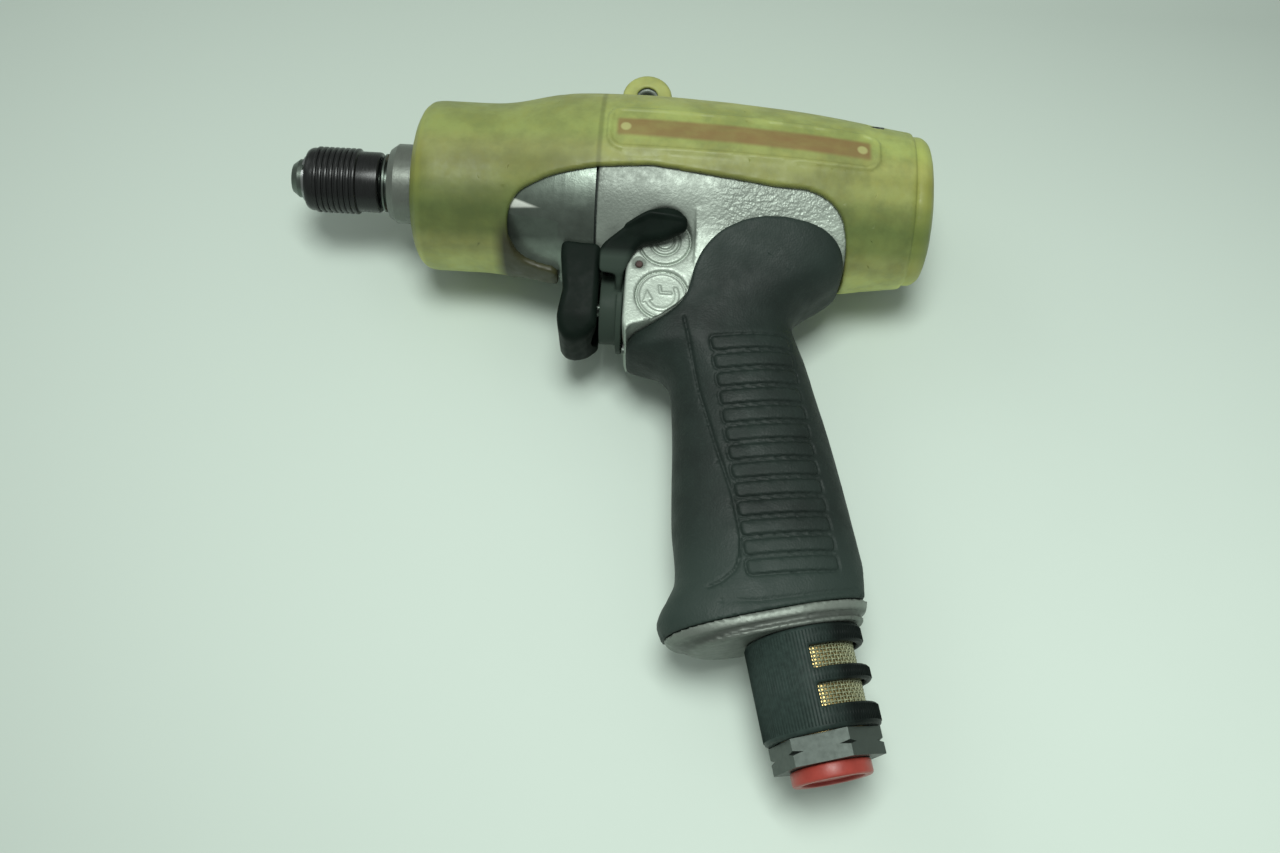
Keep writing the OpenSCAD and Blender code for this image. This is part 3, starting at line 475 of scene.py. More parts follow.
class PieceTree(Graph):
    """A geometry tree with named inputs, given with their defaults, that makes a mesh of one material."""

    def __init__(self, name, defaults):
        super().__init__(bpy.data.node_groups.new(name, "GeometryNodeTree"))
        kinds = {float: "Float", int: "Int", bool: "Bool", tuple: "Vector"}
        for label, default in defaults.items():
            kind = "NodeSocket" + kinds[type(default)]
            socket = self.tree.interface.new_socket(label, in_out="INPUT", socket_type=kind)
            socket.default_value = default
        self.tree.interface.new_socket("Material", in_out="INPUT", socket_type="NodeSocketMaterial")
        self.tree.interface.new_socket("Geometry", in_out="OUTPUT", socket_type="NodeSocketGeometry")
        self.given = self("NodeGroupInput").outputs

    def position(self):
        """The three parts of each point's place."""
        return self("ShaderNodeSeparateXYZ", {0: self("GeometryNodeInputPosition")}).outputs

    def vector(self, x=0.0, y=0.0, z=0.0):
        return self("ShaderNodeCombineXYZ", {"X": x, "Y": y, "Z": z})

    def on_circle(self, angle, radius):
        """Both places on a circle, from its cosine and its sine."""
        return [self.times(self.math(part, angle), radius) for part in ("COSINE", "SINE")]

    def round_foot(self, geometry):
        """Bends a flat sheet (x round the foot, y down it, z outwards) round the handle axis."""
        flat = self.position()
        angle = self.math("DIVIDE", flat["X"], self.given["Radius"])
        x, z = self.on_circle(angle, self.add(flat["Z"], self.given["Radius"]))
        bent = self("GeometryNodeSetPosition", {
            "Geometry": geometry, "Position": self.vector(x, self.times(flat["Y"], -1.0), z)})
        return self("GeometryNodeTransform", {"Geometry": bent, "Translation": (HANDLE_X * MM, 0, 0),
                                              "Rotation": (0, 0, HANDLE_LEAN)})

    def close(self, geometry):
        """Ends the tree in a smooth mesh with the material."""
        real = self("GeometryNodeRealizeInstances", {"Geometry": geometry})
        smooth = self("GeometryNodeSetShadeSmooth", {"Geometry": real})
        painted = self("GeometryNodeSetMaterial", {"Geometry": smooth, "Material": self.given["Material"]})
        self("NodeGroupOutput", {"Geometry": painted})
        return self.tree


def piece_from_tree(name, tree, values, finish):
    """Runs a node tree on an empty mesh and keeps its result as a plain mesh piece."""
    carrier = new_object(name + "_tree", bpy.data.meshes.new(name + "_tree"))
    modifier = carrier.modifiers.new("Tree", "NODES")
    modifier.node_group = tree
    values = {**values, "Material": FINISHES[finish]}
    for item in tree.interface.items_tree:
        if item.item_type == "SOCKET" and item.in_out == "INPUT":
            modifier[item.identifier] = values[item.name]
    graph = bpy.context.evaluated_depsgraph_get()
    mesh = bpy.data.meshes.new_from_object(carrier.evaluated_get(graph))
    if not mesh.polygons:
        raise RuntimeError(f"the node tree of {name} made no faces")
    mesh.name = name
    carrier.modifiers.remove(modifier)
    bpy.data.objects.remove(carrier)
    return new_object(name, mesh)


def spring_tree():
    """A round wire wound about X."""
    graph = PieceTree("Spring", {"Start": 0.0, "Length": 0.01, "Radius": 0.005, "Wire": 0.0005, "Turns": 5.0,
                                 "Centre": (0.0, 0.0, 0.0), "Turn": (0.0, 0.0, 0.0)})
    given = graph.given
    line = graph("GeometryNodeCurvePrimitiveLine", {"End": (1, 0, 0)})
    fine = graph("GeometryNodeResampleCurve", {"Curve": line, "Count": 241})
    along = graph.position()["X"]
    y, z = graph.on_circle(graph.times(along, given["Turns"], math.tau), given["Radius"])
    place = graph.vector(graph.add(given["Start"], graph.times(along, given["Length"])), y, z)
    wound = graph("GeometryNodeSetPosition", {"Geometry": fine, "Position": place})
    section = graph("GeometryNodeCurvePrimitiveCircle", {"Resolution": 10, "Radius": given["Wire"]})
    wire = graph("GeometryNodeCurveToMesh", {"Curve": wound, "Profile Curve": section, "Fill Caps": True})
    placed = graph("GeometryNodeTransform", {"Geometry": wire, "Translation": given["Centre"],
                                             "Rotation": given["Turn"]})
    return graph.close(placed)


def weave_tree():
    """Wire cloth round the foot: wires along and across it pass over and under each other."""
    graph = PieceTree("Wire cloth", {"Radius": 0.013, "Pitch": 0.001, "Round": 80, "Rows": 28, "Start": 0.14,
                                     "Wire": 0.0002})
    given = graph.given
    pitch, radius = given["Pitch"], given["Wire"]
    width = graph.times(pitch, given["Round"])
    height = graph.times(pitch, graph.math("SUBTRACT", given["Rows"], 1.0))
    cloth = graph("GeometryNodeJoinGeometry")
    for side, count, bends, end, offset in (
            (1.0, given["Round"], given["Rows"], graph.vector(y=height), graph.vector(x=pitch)),
            (-1.0, given["Rows"], given["Round"], graph.vector(x=width), graph.vector(y=pitch))):
        wire = graph("GeometryNodeCurvePrimitiveLine", {"End": end})
        points = graph.add(graph.times(bends, 3.0), 1.0)
        fine = graph("GeometryNodeResampleCurve", {"Curve": wire, "Count": points})
        row = graph("GeometryNodeMeshLine", {"Count": count, "Offset": offset})
        copies = graph("GeometryNodeInstanceOnPoints", {"Points": row, "Instance": fine})
        wires = graph("GeometryNodeRealizeInstances", {"Geometry": copies})
        flat = graph.position()
        waves = [graph.math("COSINE", graph.times(graph.math("DIVIDE", flat[axis], pitch), math.pi))
                 for axis in ("X", "Y")]
        lift = graph.times(*waves, graph.times(radius, side))
        family = graph("GeometryNodeSetPosition", {
            "Geometry": wires, "Offset": graph.vector(y=given["Start"], z=lift)})
        graph.fill(cloth.inputs[0], family)
    section = graph("GeometryNodeCurvePrimitiveCircle", {"Resolution": 4, "Radius": radius})
    wires = graph("GeometryNodeCurveToMesh", {"Curve": cloth, "Profile Curve": section})
    return graph.close(graph.round_foot(wires))


def knurl_tree():
    """Fine straight ribs down the deflector, on its plain side or on the side that its windows are cut in."""
    graph = PieceTree("Knurl", {"Radius": 0.0165, "Count": 110, "Start": 0.14, "Length": 0.02, "Rib": 0.0003,
                                "Plain Side": False})
    given = graph.given
    pitch = graph.math("DIVIDE", graph.times(given["Radius"], math.tau), given["Count"])
    row = graph("GeometryNodeMeshLine", {"Count": given["Count"], "Offset": graph.vector(x=pitch)})
    angle = graph.math("DIVIDE", graph.position()["X"], given["Radius"])
    pierced = graph.math("GREATER_THAN", graph.math("COSINE", angle), WINDOW_EDGE_COSINE)
    hidden = graph.math("COMPARE", pierced, given["Plain Side"])
    graph.fill(hidden.inputs[2], 0.5)
    kept = graph("GeometryNodeDeleteGeometry", {"Geometry": row, "Selection": hidden})
    shape = graph("GeometryNodeMeshCone", {"Vertices": 4, "Side Segments": 1, "Radius Top": given["Rib"],
                                           "Radius Bottom": given["Rib"], "Depth": given["Length"]})
    upright = graph("GeometryNodeTransform", {"Geometry": shape, "Rotation": (-math.pi / 2, 0, 0)})
    ribs = graph("GeometryNodeInstanceOnPoints", {"Points": kept, "Instance": upright})
    real = graph("GeometryNodeRealizeInstances", {"Geometry": ribs})
    sunk = graph.times(given["Rib"], -0.45)
    moved = graph("GeometryNodeSetPosition", {
        "Geometry": real, "Offset": graph.vector(y=given["Start"], z=sunk)})
    return graph.close(graph.round_foot(moved))


# Finishes

def rgb(colour):
    """A colour as a socket takes it."""
    return (*colour, 1.0) if len(colour) == 3 else tuple(colour)


def tone(colour, factor):
    """A lighter or darker tone of a colour."""
    return tuple(min(1.0, c * factor) for c in colour[:3])


class Finish(Graph):
    """A procedural surface on Object coordinates: colour, roughness and relief of one material."""

    def __init__(self, name, metallic=0.0, rough=0.45, **uniform):
        self.name = name
        self.material = bpy.data.materials.new(name)
        self.material.use_nodes = True
        super().__init__(self.material.node_tree)
        self.shader = self.tree.nodes["Principled BSDF"]
        for key, value in {"Metallic": metallic, "Roughness": rough, **uniform}.items():
            self.shader.inputs[key.replace("_", " ")].default_value = value
        self.object = self("ShaderNodeTexCoord").outputs["Object"]
        self.base = None
        self.relief = None

    def noise(self, size, detail=3.0, roughness=0.55, stretch=None):
        """Noise whose blobs have about this size in millimetres, squeezed along each axis by the stretch."""
        vector = self.object
        if stretch:
            vector = self("ShaderNodeMapping", {"Vector": vector, "Scale": stretch})
        return self("ShaderNodeTexNoise", {"Vector": vector, "Scale": 1 / (size * MM), "Detail": detail,
                                           "Roughness": roughness}).outputs["Fac"]

    def along(self, direction, start=0.0):
        """Distance along a direction from a start, both given in millimetres."""
        dot = self("ShaderNodeVectorMath", {0: self.object, 1: direction}, operation="DOT_PRODUCT")
        return self.math("SUBTRACT", dot.outputs["Value"], start * MM)

    def span(self, value, low, high, to_low=0.0, to_high=1.0, smooth=False):
        """Runs from one number to another while a value passes from low to high."""
        return self("ShaderNodeMapRange", {"Value": value, "From Min": low, "From Max": high,
                                           "To Min": to_low, "To Max": to_high},
                    interpolation_type="SMOOTHSTEP" if smooth else "LINEAR").outputs["Result"]

    def fade(self, value, low, high, to_low=0.0, to_high=1.0, smooth=True):
        """The same between two places in millimetres, and smooth unless told otherwise."""
        return self.span(value, low * MM, high * MM, to_low, to_high, smooth)

    def within(self, value, half, soft):
        """1 where a value lies within half of zero, in millimetres, with a soft edge."""
        return self.fade(self.math("ABSOLUTE", value), half + soft, half - soft)

    def mix(self, factor, a, b):
        node = self("ShaderNodeMix", {"Factor": factor}, data_type="RGBA")
        for socket, value in ((node.inputs[6], a), (node.inputs[7], b)):
            self.fill(socket, rgb(value) if isinstance(value, tuple) else value)
        return node.outputs[2]

    def cloudy(self, colour, dark, light, size, **noise):
        """Starts the colour as one that drifts between two tones in patches of this size in millimetres."""
        drift = self.span(self.noise(size, 4.0, **noise), 0.3, 0.7)
        return self.colour(self.mix(drift, tone(colour, dark), tone(colour, light)))

    def over(self, colour, *factors):
        """Lays another colour over the one so far, as far as the product of the factors."""
        return self.colour(self.mix(self.times(*factors), self.base, colour))

    def specked(self, colour, size, low, high, most=0.3, detail=3.0):
        """Lays specks of this size in millimetres over the colour, where noise passes from low to high."""
        return self.over(colour, self.span(self.noise(size, detail), low, high, 0.0, most))

    def shaded(self, value, stops):
        """Paints light and shade into the colour: multiplies it by factors, or by colours, at stops of [place
        in millimetres, factor].
        """
        low, high = stops[0][0], stops[-1][0]
        ramp = self("ShaderNodeValToRGB", {"Fac": self.fade(value, low, high, smooth=False)})
        ramp.color_ramp.interpolation = "EASE"
        points = ramp.color_ramp.elements
        peak = max(np.max(factor) for place, factor in stops)
        for place, factor in stops:
            part = (place - low) / (high - low)
            point = points[0] if part == 0 else points[-1] if part == 1 else points.new(part)
            point.color = (*(np.broadcast_to(factor, 3) / peak), 1)
        level = self("ShaderNodeVectorMath", {0: ramp, "Scale": peak}, operation="SCALE")
        shade = self("ShaderNodeVectorMath", {0: self.base, 1: level}, operation="MULTIPLY")
        return self.colour(shade.outputs["Vector"])

    def colour(self, value):
        """Sets the colour so far."""
        self.base = value
        self.fill(self.shader.inputs["Base Color"], value)
        return self

    def gloss(self, size, smooth, rough, **noise):
        """Lets the roughness wander between two values in patches of this size in millimetres."""
        wander = self.span(self.noise(size, **noise), 0.3, 0.7, smooth, rough)
        self.fill(self.shader.inputs["Roughness"], wander)
        return self

    def raise_by(self, height, depth):
        """Adds relief of this depth in millimetres from a height between 0 and 1."""
        inputs = {"Height": height, "Distance": depth * MM, "Strength": 1.0}
        if self.relief:
            inputs["Normal"] = self.relief
        self.relief = self("ShaderNodeBump", inputs)
        self.fill(self.shader.inputs["Normal"], self.relief)
        return self


def plain_finish(name, colour, metallic=0.0, rough=0.45, spread=0.08, mottle=0.12, mottle_size=6.0,
                 grain=0.02, grain_size=0.5, stretch=(1, 1, 1), **uniform):
    """Colour with cloudy variation, uneven gloss and a fine grain, stretched where it was turned."""
    finish = Finish(name, metallic, rough, **uniform)
    finish.cloudy(colour, 1 - mottle, 1 + mottle, mottle_size, stretch=stretch)
    finish.gloss(mottle_size * 0.5, rough - spread, rough + spread, stretch=stretch)
    return finish.raise_by(finish.noise(grain_size, stretch=stretch), grain)


def steel_finish(name, colour, rough, **more):
    """Turned metal, with fine marks round the output axis."""
    settings = dict(metallic=1.0, rough=rough, spread=0.07, mottle=0.1, mottle_size=3.0, grain=0.01,
                    grain_size=0.25, stretch=(4, 0.6, 0.6))
    return plain_finish(name, colour, **{**settings, **more})


def make_finishes(colours):
    """One material for each slot of the record and for the foot's own pieces, by its name."""
    even = (1, 1, 1)
    made = [
        cover_finish(colours),
        casting_finish(colours),
        case_finish(colours),
        rubber_finish(colours),
        plastic_finish(colours),
        plate_finish(colours),
        deflector_finish(colours),
        steel_finish("black_steel", (0.018, 0.019, 0.019), 0.3, metallic=0.5),
        steel_finish("bright_steel", (0.135, 0.16, 0.14), 0.34),
        steel_finish("spring_steel", (0.32, 0.33, 0.33), 0.3),
        steel_finish("ground_steel", (0.42, 0.43, 0.42), 0.24),
        steel_finish("brass", (0.52, 0.38, 0.16), 0.32),
        steel_finish("bronze", (0.36, 0.22, 0.11), 0.36),
        steel_finish("inlet_steel", colours.inlet[:], 0.44, metallic=0.6, grain=0.006, stretch=even),
        steel_finish("mesh_brass", colours.mesh[:], 0.45, metallic=0.2, mottle=0.25, mottle_size=1.2,
                     stretch=even),
        plain_finish("pin_brown", (0.05, 0.022, 0.018), rough=0.5, mottle=0.3, mottle_size=0.8),
        plain_finish("vane_resin", (0.16, 0.075, 0.03), rough=0.5, mottle=0.25, mottle_size=1.5,
                     stretch=(0.3, 2, 2)),
        plain_finish("seal_black", (0.018, 0.019, 0.018), rough=0.55),
        plain_finish("gasket_fibre", (0.03, 0.04, 0.036), rough=0.8, mottle=0.3, mottle_size=0.6),
        plain_finish("plug_red", colours.plug[:], rough=0.4, spread=0.05, mottle=0.1, mottle_size=3.0,
                     grain_size=0.8)]
    return {finish.name: finish.material for finish in made}


def cover_finish(colours):
    """Translucent urethane: cloudy, darker over the case, with the joint and the plate showing through, and
    with painted light and shade across and along its barrel.
    """
    finish = Finish("cover_yellow", rough=0.4, Alpha=0.9, IOR=1.48)
    red, green, blue = light = colours.cover[:]
    x = finish.along(X)
    drift = finish.span(finish.noise(11.0, 4.0, 0.6), 0.34, 0.66, smooth=True)
    finish.colour(finish.mix(drift, tone(light, 0.8), tone(light, 1.14)))
    finish.specked((red * 1.16, green, blue * 0.7), 3.0, 0.45, 0.75)
    finish.over(tone(light, 0.55), finish.fade(x, 94, 99, 0.34, 0.0))
    finish.over(tone(light, 0.3), finish.within(finish.along(X, SEAM_X + 0.5), 0.7, 0.5), 0.45)
    thick = finish.math("MAXIMUM", finish.fade(x, 44.5, 42.5), finish.fade(x, 188.5, 191))
    finish.over((red * 1.25, green * 1.2, blue * 0.9), thick, 0.5)
    # Painted light and shade across the barrel: darker below its middle, and a painted reflection of the
    # floor that lightens its lower edge
    finish.shaded(finish.along(BENEATH), [
        [-29, 1.0], [-23, (0.9, 0.96, 0.94)], [-15, (0.84, 0.92, 0.86)], [-9, 0.8], [-4, (0.63, 0.63, 0.52)],
        [0, (0.65, 0.67, 0.58)], [5, (0.46, 0.52, 0.44)], [10, (0.34, 0.42, 0.36)], [15, (0.44, 0.51, 0.45)],
        [20, 0.86], [24.5, (1.6, 1.62, 1.6)], [29, (1.95, 2.05, 2.1)]])
    # Painted light: lighter towards the rear
    finish.shaded(x, [[36, 1.0], [60, 1.0], [100, 1.03], [165, 1.0], [180, 1.15], [198, 1.2]])
    # The tongue below the case lies in its own shade
    finish.over((0.022, 0.02, 0.01), finish.fade(finish.along(Y), -16.5, -24.5, 0.0, 0.95),
                finish.fade(x, 65, 69, smooth=False), finish.fade(x, 90, 86, smooth=False))
    # The plate and its rivets show through, on the left side only
    long = finish.along(X, PLATE_X)
    across = finish.along((0, math.cos(PLATE_TURN), -math.sin(PLATE_TURN)))
    above = finish.fade(finish.along((0, math.sin(PLATE_TURN), math.cos(PLATE_TURN))), 10, 15, smooth=False)
    tint = finish.span(finish.noise(5.0, stretch=(0.4, 1, 1)), 0.3, 0.7, 0.6, 0.85)
    finish.over(colours.plate_shade[:], finish.within(long, 37.5, 0.8), finish.within(across, 3.3, 0.9),
                above, tint)
    end = finish.math("SUBTRACT", finish.math("ABSOLUTE", long), 35 * MM)
    spot = finish.math("SQRT", finish.add(finish.math("POWER", end, 2.0), finish.math("POWER", across, 2.0)))
    finish.over((red * 1.4, green * 1.35, blue * 1.7), finish.fade(spot, 1.9, 1.1, 0.0, 0.7), above)
    finish.gloss(3.0, 0.42, 0.56)
    finish.raise_by(finish.noise(7.0, 2.0), 0.22)
    return finish.raise_by(finish.noise(0.7), 0.012)


def casting_finish(colours):
    """Painted casting: pebbled relief, stronger towards the rear, a satin gloss, and painted light and shade
    on the barrel and down the handle.
    """
    finish = Finish("cast_silver", metallic=0.4, rough=0.4, IOR=1.45)
    paint = colours.casting[:]
    x, y = finish.along(X), finish.along(Y)
    down = finish.along((math.sin(HANDLE_LEAN), -math.cos(HANDLE_LEAN), 0), HANDLE_X * math.sin(HANDLE_LEAN))
    finish.cloudy(paint, 0.88, 1.08, 7.0)
    finish.specked(tone(paint, 0.6), 0.5, 0.5, 0.75, detail=2.0)
    # Painted shade: darker towards the front, above y = -22 mm
    finish.over(tone(paint, 0.35), finish.fade(x, 121, 112, 0.0, 0.3), finish.fade(y, -22, -14, smooth=False))
    # Painted light and shade down the handle: lighter over the boss, darker towards the flange, and darkest
    # in the flange's groove
    finish.shaded(down, [[-30, 0.66], [12, 0.73], [20, 0.8], [26, 1.2], [60, 1.2], [132, 0.54],
                         [136.2, 0.45], [137.0, 0.2], [138.0, 0.2], [138.8, 0.36], [140, 0.4]])
    # Painted light: darker towards the front of the barrel and lighter towards the rear
    finish.shaded(x, [[95, 0.85], [113, 0.85], [137, 0.96], [161, 1.12], [186, 1.12]])
    finish.gloss(2.0, 0.4, 0.55)
    rear = finish.times(finish.fade(x, 125, 140), finish.fade(y, -26, -18))
    finish.raise_by(finish.times(finish.noise(1.15, 1.5), rear), 0.5)
    above_flange = finish.fade(down, 134, 130, smooth=False)
    return finish.raise_by(finish.times(finish.noise(0.8, 2.0), above_flange), 0.1)


def case_finish(colours):
    """Steel case: dark blast finish on the body, bare turned metal on the neck, a painted highlight in a
    bright triangle, and painted light and shade across the body.
    """
    finish = Finish("dark_case", metallic=0.5, rough=0.4)
    finish.cloudy(colours.case, 0.85, 1.15, 5.0)
    # A painted highlight: a near-white triangle on the left side of the body, inside three edges
    inside = [finish.fade(finish.along(Z), 1, 3, smooth=False)]
    corners = [(68.8, -16.2), (79.8, -16.9), (70.9, -13.6)]
    for (ax, ay), (bx, by) in zip(corners, corners[1:] + corners[:1]):
        length = math.hypot(bx - ax, by - ay)
        side = ((ay - by) / length, (bx - ax) / length, 0)
        inside.append(finish.fade(finish.along(side, side[0] * ax + side[1] * ay), -0.2, 0.5))
    finish.over((0.92, 0.96, 0.88), *inside)
    # Painted light and shade across the body: a painted sheen over its upper middle, darker below, and a
    # painted reflection of the floor at its lower edge
    finish.shaded(finish.along(BENEATH), [[-30, 1.0], [-6, 1.5], [-2, 1.65], [2, 1.45], [6, 1.1], [9.5, 0.75],
                                          [13.5, 0.66], [16, 0.64], [19, 1.3], [22, 2.0], [29, 2.0]])
    turned = finish.noise(0.8, 2.0, stretch=(4, 0.5, 0.5))
    bare = finish.mix(turned, tone(colours.neck, 0.8), tone(colours.neck, 1.15))
    finish.over(bare, finish.fade(finish.along(X), 39.3, 39.6, 1.0, 0.0, smooth=False))
    finish.gloss(1.5, 0.3, 0.46)
    return finish.raise_by(finish.noise(0.5), 0.04)


def rubber_finish(colours):
    """Moulded rubber with a fine leathery skin, rubbed specks, and painted sheen that lightens it towards its
    top and its bottom.
    """
    finish = Finish("grip_black", rough=0.6, Specular_IOR_Level=0.25)
    finish.cloudy(colours.grip, 0.7, 1.3, 14.0)
    y = finish.along(Y)
    # Painted sheen: lighter towards the bottom of the grip and, less, towards its top
    finish.over(tone(colours.grip, 2.0), finish.math("MAXIMUM", finish.fade(y, -100, -125, 0.0, 0.95),
                                                     finish.fade(y, -45, -25, 0.0, 0.4)))
    finish.specked(tone(colours.grip, 2.1), 0.9, 0.55, 0.75)
    finish.gloss(6.0, 0.5, 0.66)
    cells = finish("ShaderNodeTexVoronoi", {"Vector": finish.object, "Scale": 1600.0}).outputs["Distance"]
    finish.raise_by(cells, 0.05)
    return finish.raise_by(finish.noise(2.5, 2.0), 0.1)


def deflector_finish(colours):
    """Dark moulded ring, with painted light on its plain side and painted shade on the side of its windows.
    """
    finish = plain_finish("deflector_black", colours.deflector[:], rough=0.46, mottle=0.2, mottle_size=1.5,
                          grain=0.03, grain_size=0.3, Specular_IOR_Level=0.12)
    lean = math.cos(HANDLE_LEAN)
    behind = finish.along((lean, math.sin(HANDLE_LEAN), 0), HANDLE_X * lean)
    # Painted light and shade: lighter on the plain side, darker on the side of the windows
    return finish.shaded(behind, [[-17, 1.55], [-4, 1.35], [3, 0.95], [8, 0.3], [17, 0.3]])


def plastic_finish(colours):
    """Moulded plastic, with a painted highlight that makes the front of the lever's ring lighter."""
    finish = plain_finish("black_plastic", colours.plastic[:], rough=0.46, mottle=0.2, grain=0.03,
                          grain_size=0.35, Specular_IOR_Level=0.05)
    # Painted highlight on the lever's ring, below its top and behind the trigger's hood
    behind_hood = finish.fade(finish.along(X), 98.4, 98.8, smooth=False)
    low = finish.fade(finish.along(Y), -28.5, -31, smooth=False)
    return finish.over((0.052, 0.072, 0.058), behind_hood, low, 0.75)


def plate_finish(colours):
    """Bare tinted metal plate, brushed lengthwise."""
    finish = Finish("plate_red", metallic=0.35, rough=0.4)
    brushed = finish.noise(0.35, stretch=(0.03, 1, 1))
    finish.colour(finish.mix(brushed, tone(colours.plate, 0.75), tone(colours.plate, 1.2)))
    finish.fill(finish.shader.inputs["Roughness"], finish.span(brushed, 0.3, 0.7, 0.32, 0.5))
    return finish.raise_by(brushed, 0.01)


# Properties

def paint(name, description, *default):
    """Property of a colour, in linear light."""
    return FloatVectorProperty(name=name, description=description, default=default, subtype="COLOR",
                               min=0, max=1)


def grid_step(name, description, default):
    """Property of a sampling step."""
    return FloatProperty(name=name, description=description, default=default, unit="LENGTH",
                         min=0.0002, max=0.001)


class WrenchColours(bpy.types.PropertyGroup):
    cover: paint("Cover", "Urethane cover", 0.36, 0.39, 0.125)
    casting: paint("Casting", "Painted motor housing", 0.42, 0.48, 0.42)
    case: paint("Case", "Body of the front case", 0.115, 0.14, 0.118)
    neck: paint("Neck", "Bare neck of the front case", 0.155, 0.173, 0.151)
    grip: paint("Grip", "Rubber grip", 0.0138, 0.0217, 0.0183)
    plastic: paint("Trigger", "Trigger and reverse lever", 0.0062, 0.0108, 0.0082)
    deflector: paint("Deflector", "Exhaust deflector", 0.021, 0.033, 0.029)
    mesh: paint("Wire cloth", "Silencer wire cloth", 0.31, 0.33, 0.20)
    inlet: paint("Inlet", "Inlet bushing", 0.062, 0.077, 0.068)
    plug: paint("Plug", "Transit plug", 0.37, 0.05, 0.036)
    plate: paint("Plate", "Nameplate", 0.45, 0.10, 0.05)
    plate_shade: paint("Plate shade", "Nameplate seen through the cover", 0.24, 0.125, 0.052)
    floor: paint("Floor", "Pale floor", 0.628, 0.725, 0.655)


class WrenchSizes(bpy.types.PropertyGroup):
    cover_grid: grid_step("Cover grid", "Sampling step of the cover", 0.00055)
    housing_grid: grid_step("Housing grid", "Sampling step of the housing", 0.00055)
    grip_grid: grid_step("Grip grid", "Sampling step of the grip", 0.0005)
    small_grid: grid_step("Small grid", "Sampling step of trigger, lever and deflector", 0.0003)
    cloth_pitch: FloatProperty(name="Cloth pitch", description="Distance between the silencer's wires",
                               default=0.00102, min=0.0008, max=0.002, unit="LENGTH")
    knurl_count: IntProperty(name="Knurls", description="Ribs round the exhaust deflector",
                             default=112, min=60, max=160)
    lamp_power: FloatProperty(name="Lamp", description="Power of the soft lamp overhead",
                              default=6.8, min=0.0, max=100.0, unit="POWER")


def colours():
    return bpy.context.scene.wrench_colours


def sizes():
    return bpy.context.scene.wrench_sizes


def body_of(node):
    """The record's body that a CAD node belongs to."""
    bodies = frame["record"]["behaviour"]["bodies"]
    return next(body for body, members in bodies.items() if node in members)


def dress(piece, body, slot, *replaced):
    """Lets a finished piece ride its body, and stand for the CAD nodes that it replaces."""
    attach(piece, body)
    if replaced:
        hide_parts(*replaced)


# Operators

class WRENCH_OT_finishes(bpy.types.Operator):
    """Makes the materials and gives every carried-over node the finish of its slot"""
    bl_idname = "wrench.finishes"
    bl_label = "Finishes"

    def execute(self, context):
        FINISHES.update(make_finishes(colours()))
        slots = {part["node"]: part["material_slot"] for part in frame["record"]["subparts"]}
        for name, node in NODES.items():
            node.data.materials.clear()
            node.data.materials.append(FINISHES[slots[name]])
        return {"FINISHED"}


class WRENCH_OT_stage(bpy.types.Operator):
    """Sets the pale floor, the soft light and the camera"""
    bl_idname = "wrench.stage"
    bl_label = "Stage"

    def execute(self, context):
        scene = context.scene
        scene.view_settings.view_transform = "Standard"
        half, level = FLOOR_SIZE / 2, CAD_BOX[0][2]
        corners = [(-half, -half, level), (half, -half, level), (half, half, level), (-half, half, level)]
        mesh = bpy.data.meshes.new("floor")
        mesh.from_pydata(corners, [], [(0, 1, 2, 3)])
        mesh.materials.append(self.floor_material())
        new_object("floor", mesh)

        world = bpy.data.worlds.new("soft_room")
        world.use_nodes = True
        background = world.node_tree.nodes["Background"].inputs
        background["Color"].default_value = (0.93, 1.0, 0.95, 1)
        background["Strength"].default_value = 0.32
        scene.world = world
        for name, place, size, share in (("overhead", (0.10, -0.05, 0.98), 0.32, 1.08),
                                         ("window", (-0.7, 0.5, 0.7), 0.7, 0.25)):
            light = bpy.data.lights.new(name, "AREA")
            light.size = size
            light.energy = sizes().lamp_power * share
            light.color = (0.95, 1.0, 0.96)
            self.aim(new_object(name, light), Vector(place), Vector(LAMP_TARGET))

        view = bpy.data.cameras.new("camera")
        view.sensor_width = 36.0
        view.lens = FOCAL_PIXELS / PHOTO_WIDTH * view.sensor_width
        scene.camera = new_object("camera", view)
        self.aim(scene.camera, Vector(CAMERA_PLACE) * MM, Vector(CAMERA_TARGET) * MM)
        return {"FINISHED"}

    @staticmethod
    def aim(thing, place, target):
        """Puts a lamp or the camera at a place and turns it to a target, both in metres."""
        thing.location = place
        thing.rotation_euler = (place - target).to_track_quat("Z", "Y").to_euler()

    @staticmethod
    def floor_material():
        """Pale paint that darkens a little towards the edges and the upper left, as the light falls off."""
        finish = Finish("floor_paint", rough=0.7)
        pale = colours().floor
        # Places along and across the floor, counted in halves of the part of it that the photograph shows
        past = 1.3
        u, v = (finish.fade(finish.along(axis, middle), -half * past, half * past, -past, past, smooth=False)
                for axis, middle, half in ((X, 113, 200), (Y, -76, 135)))
        squares = finish.add(finish.math("POWER", u, 2.0), finish.math("POWER", v, 2.0))
        level = finish.add(finish.times(u, 0.085), finish.times(v, -0.11), finish.times(u, v, -0.076),
                           finish.times(squares, -0.09))
        finish.colour(finish.mix(finish.span(level, -0.5, 0.3), tone(pale, 0.5), tone(pale, 1.3)))
        return finish.specked(tone(pale, 0.8), 60.0, 0.4, 0.8, 0.06, detail=4.0).material


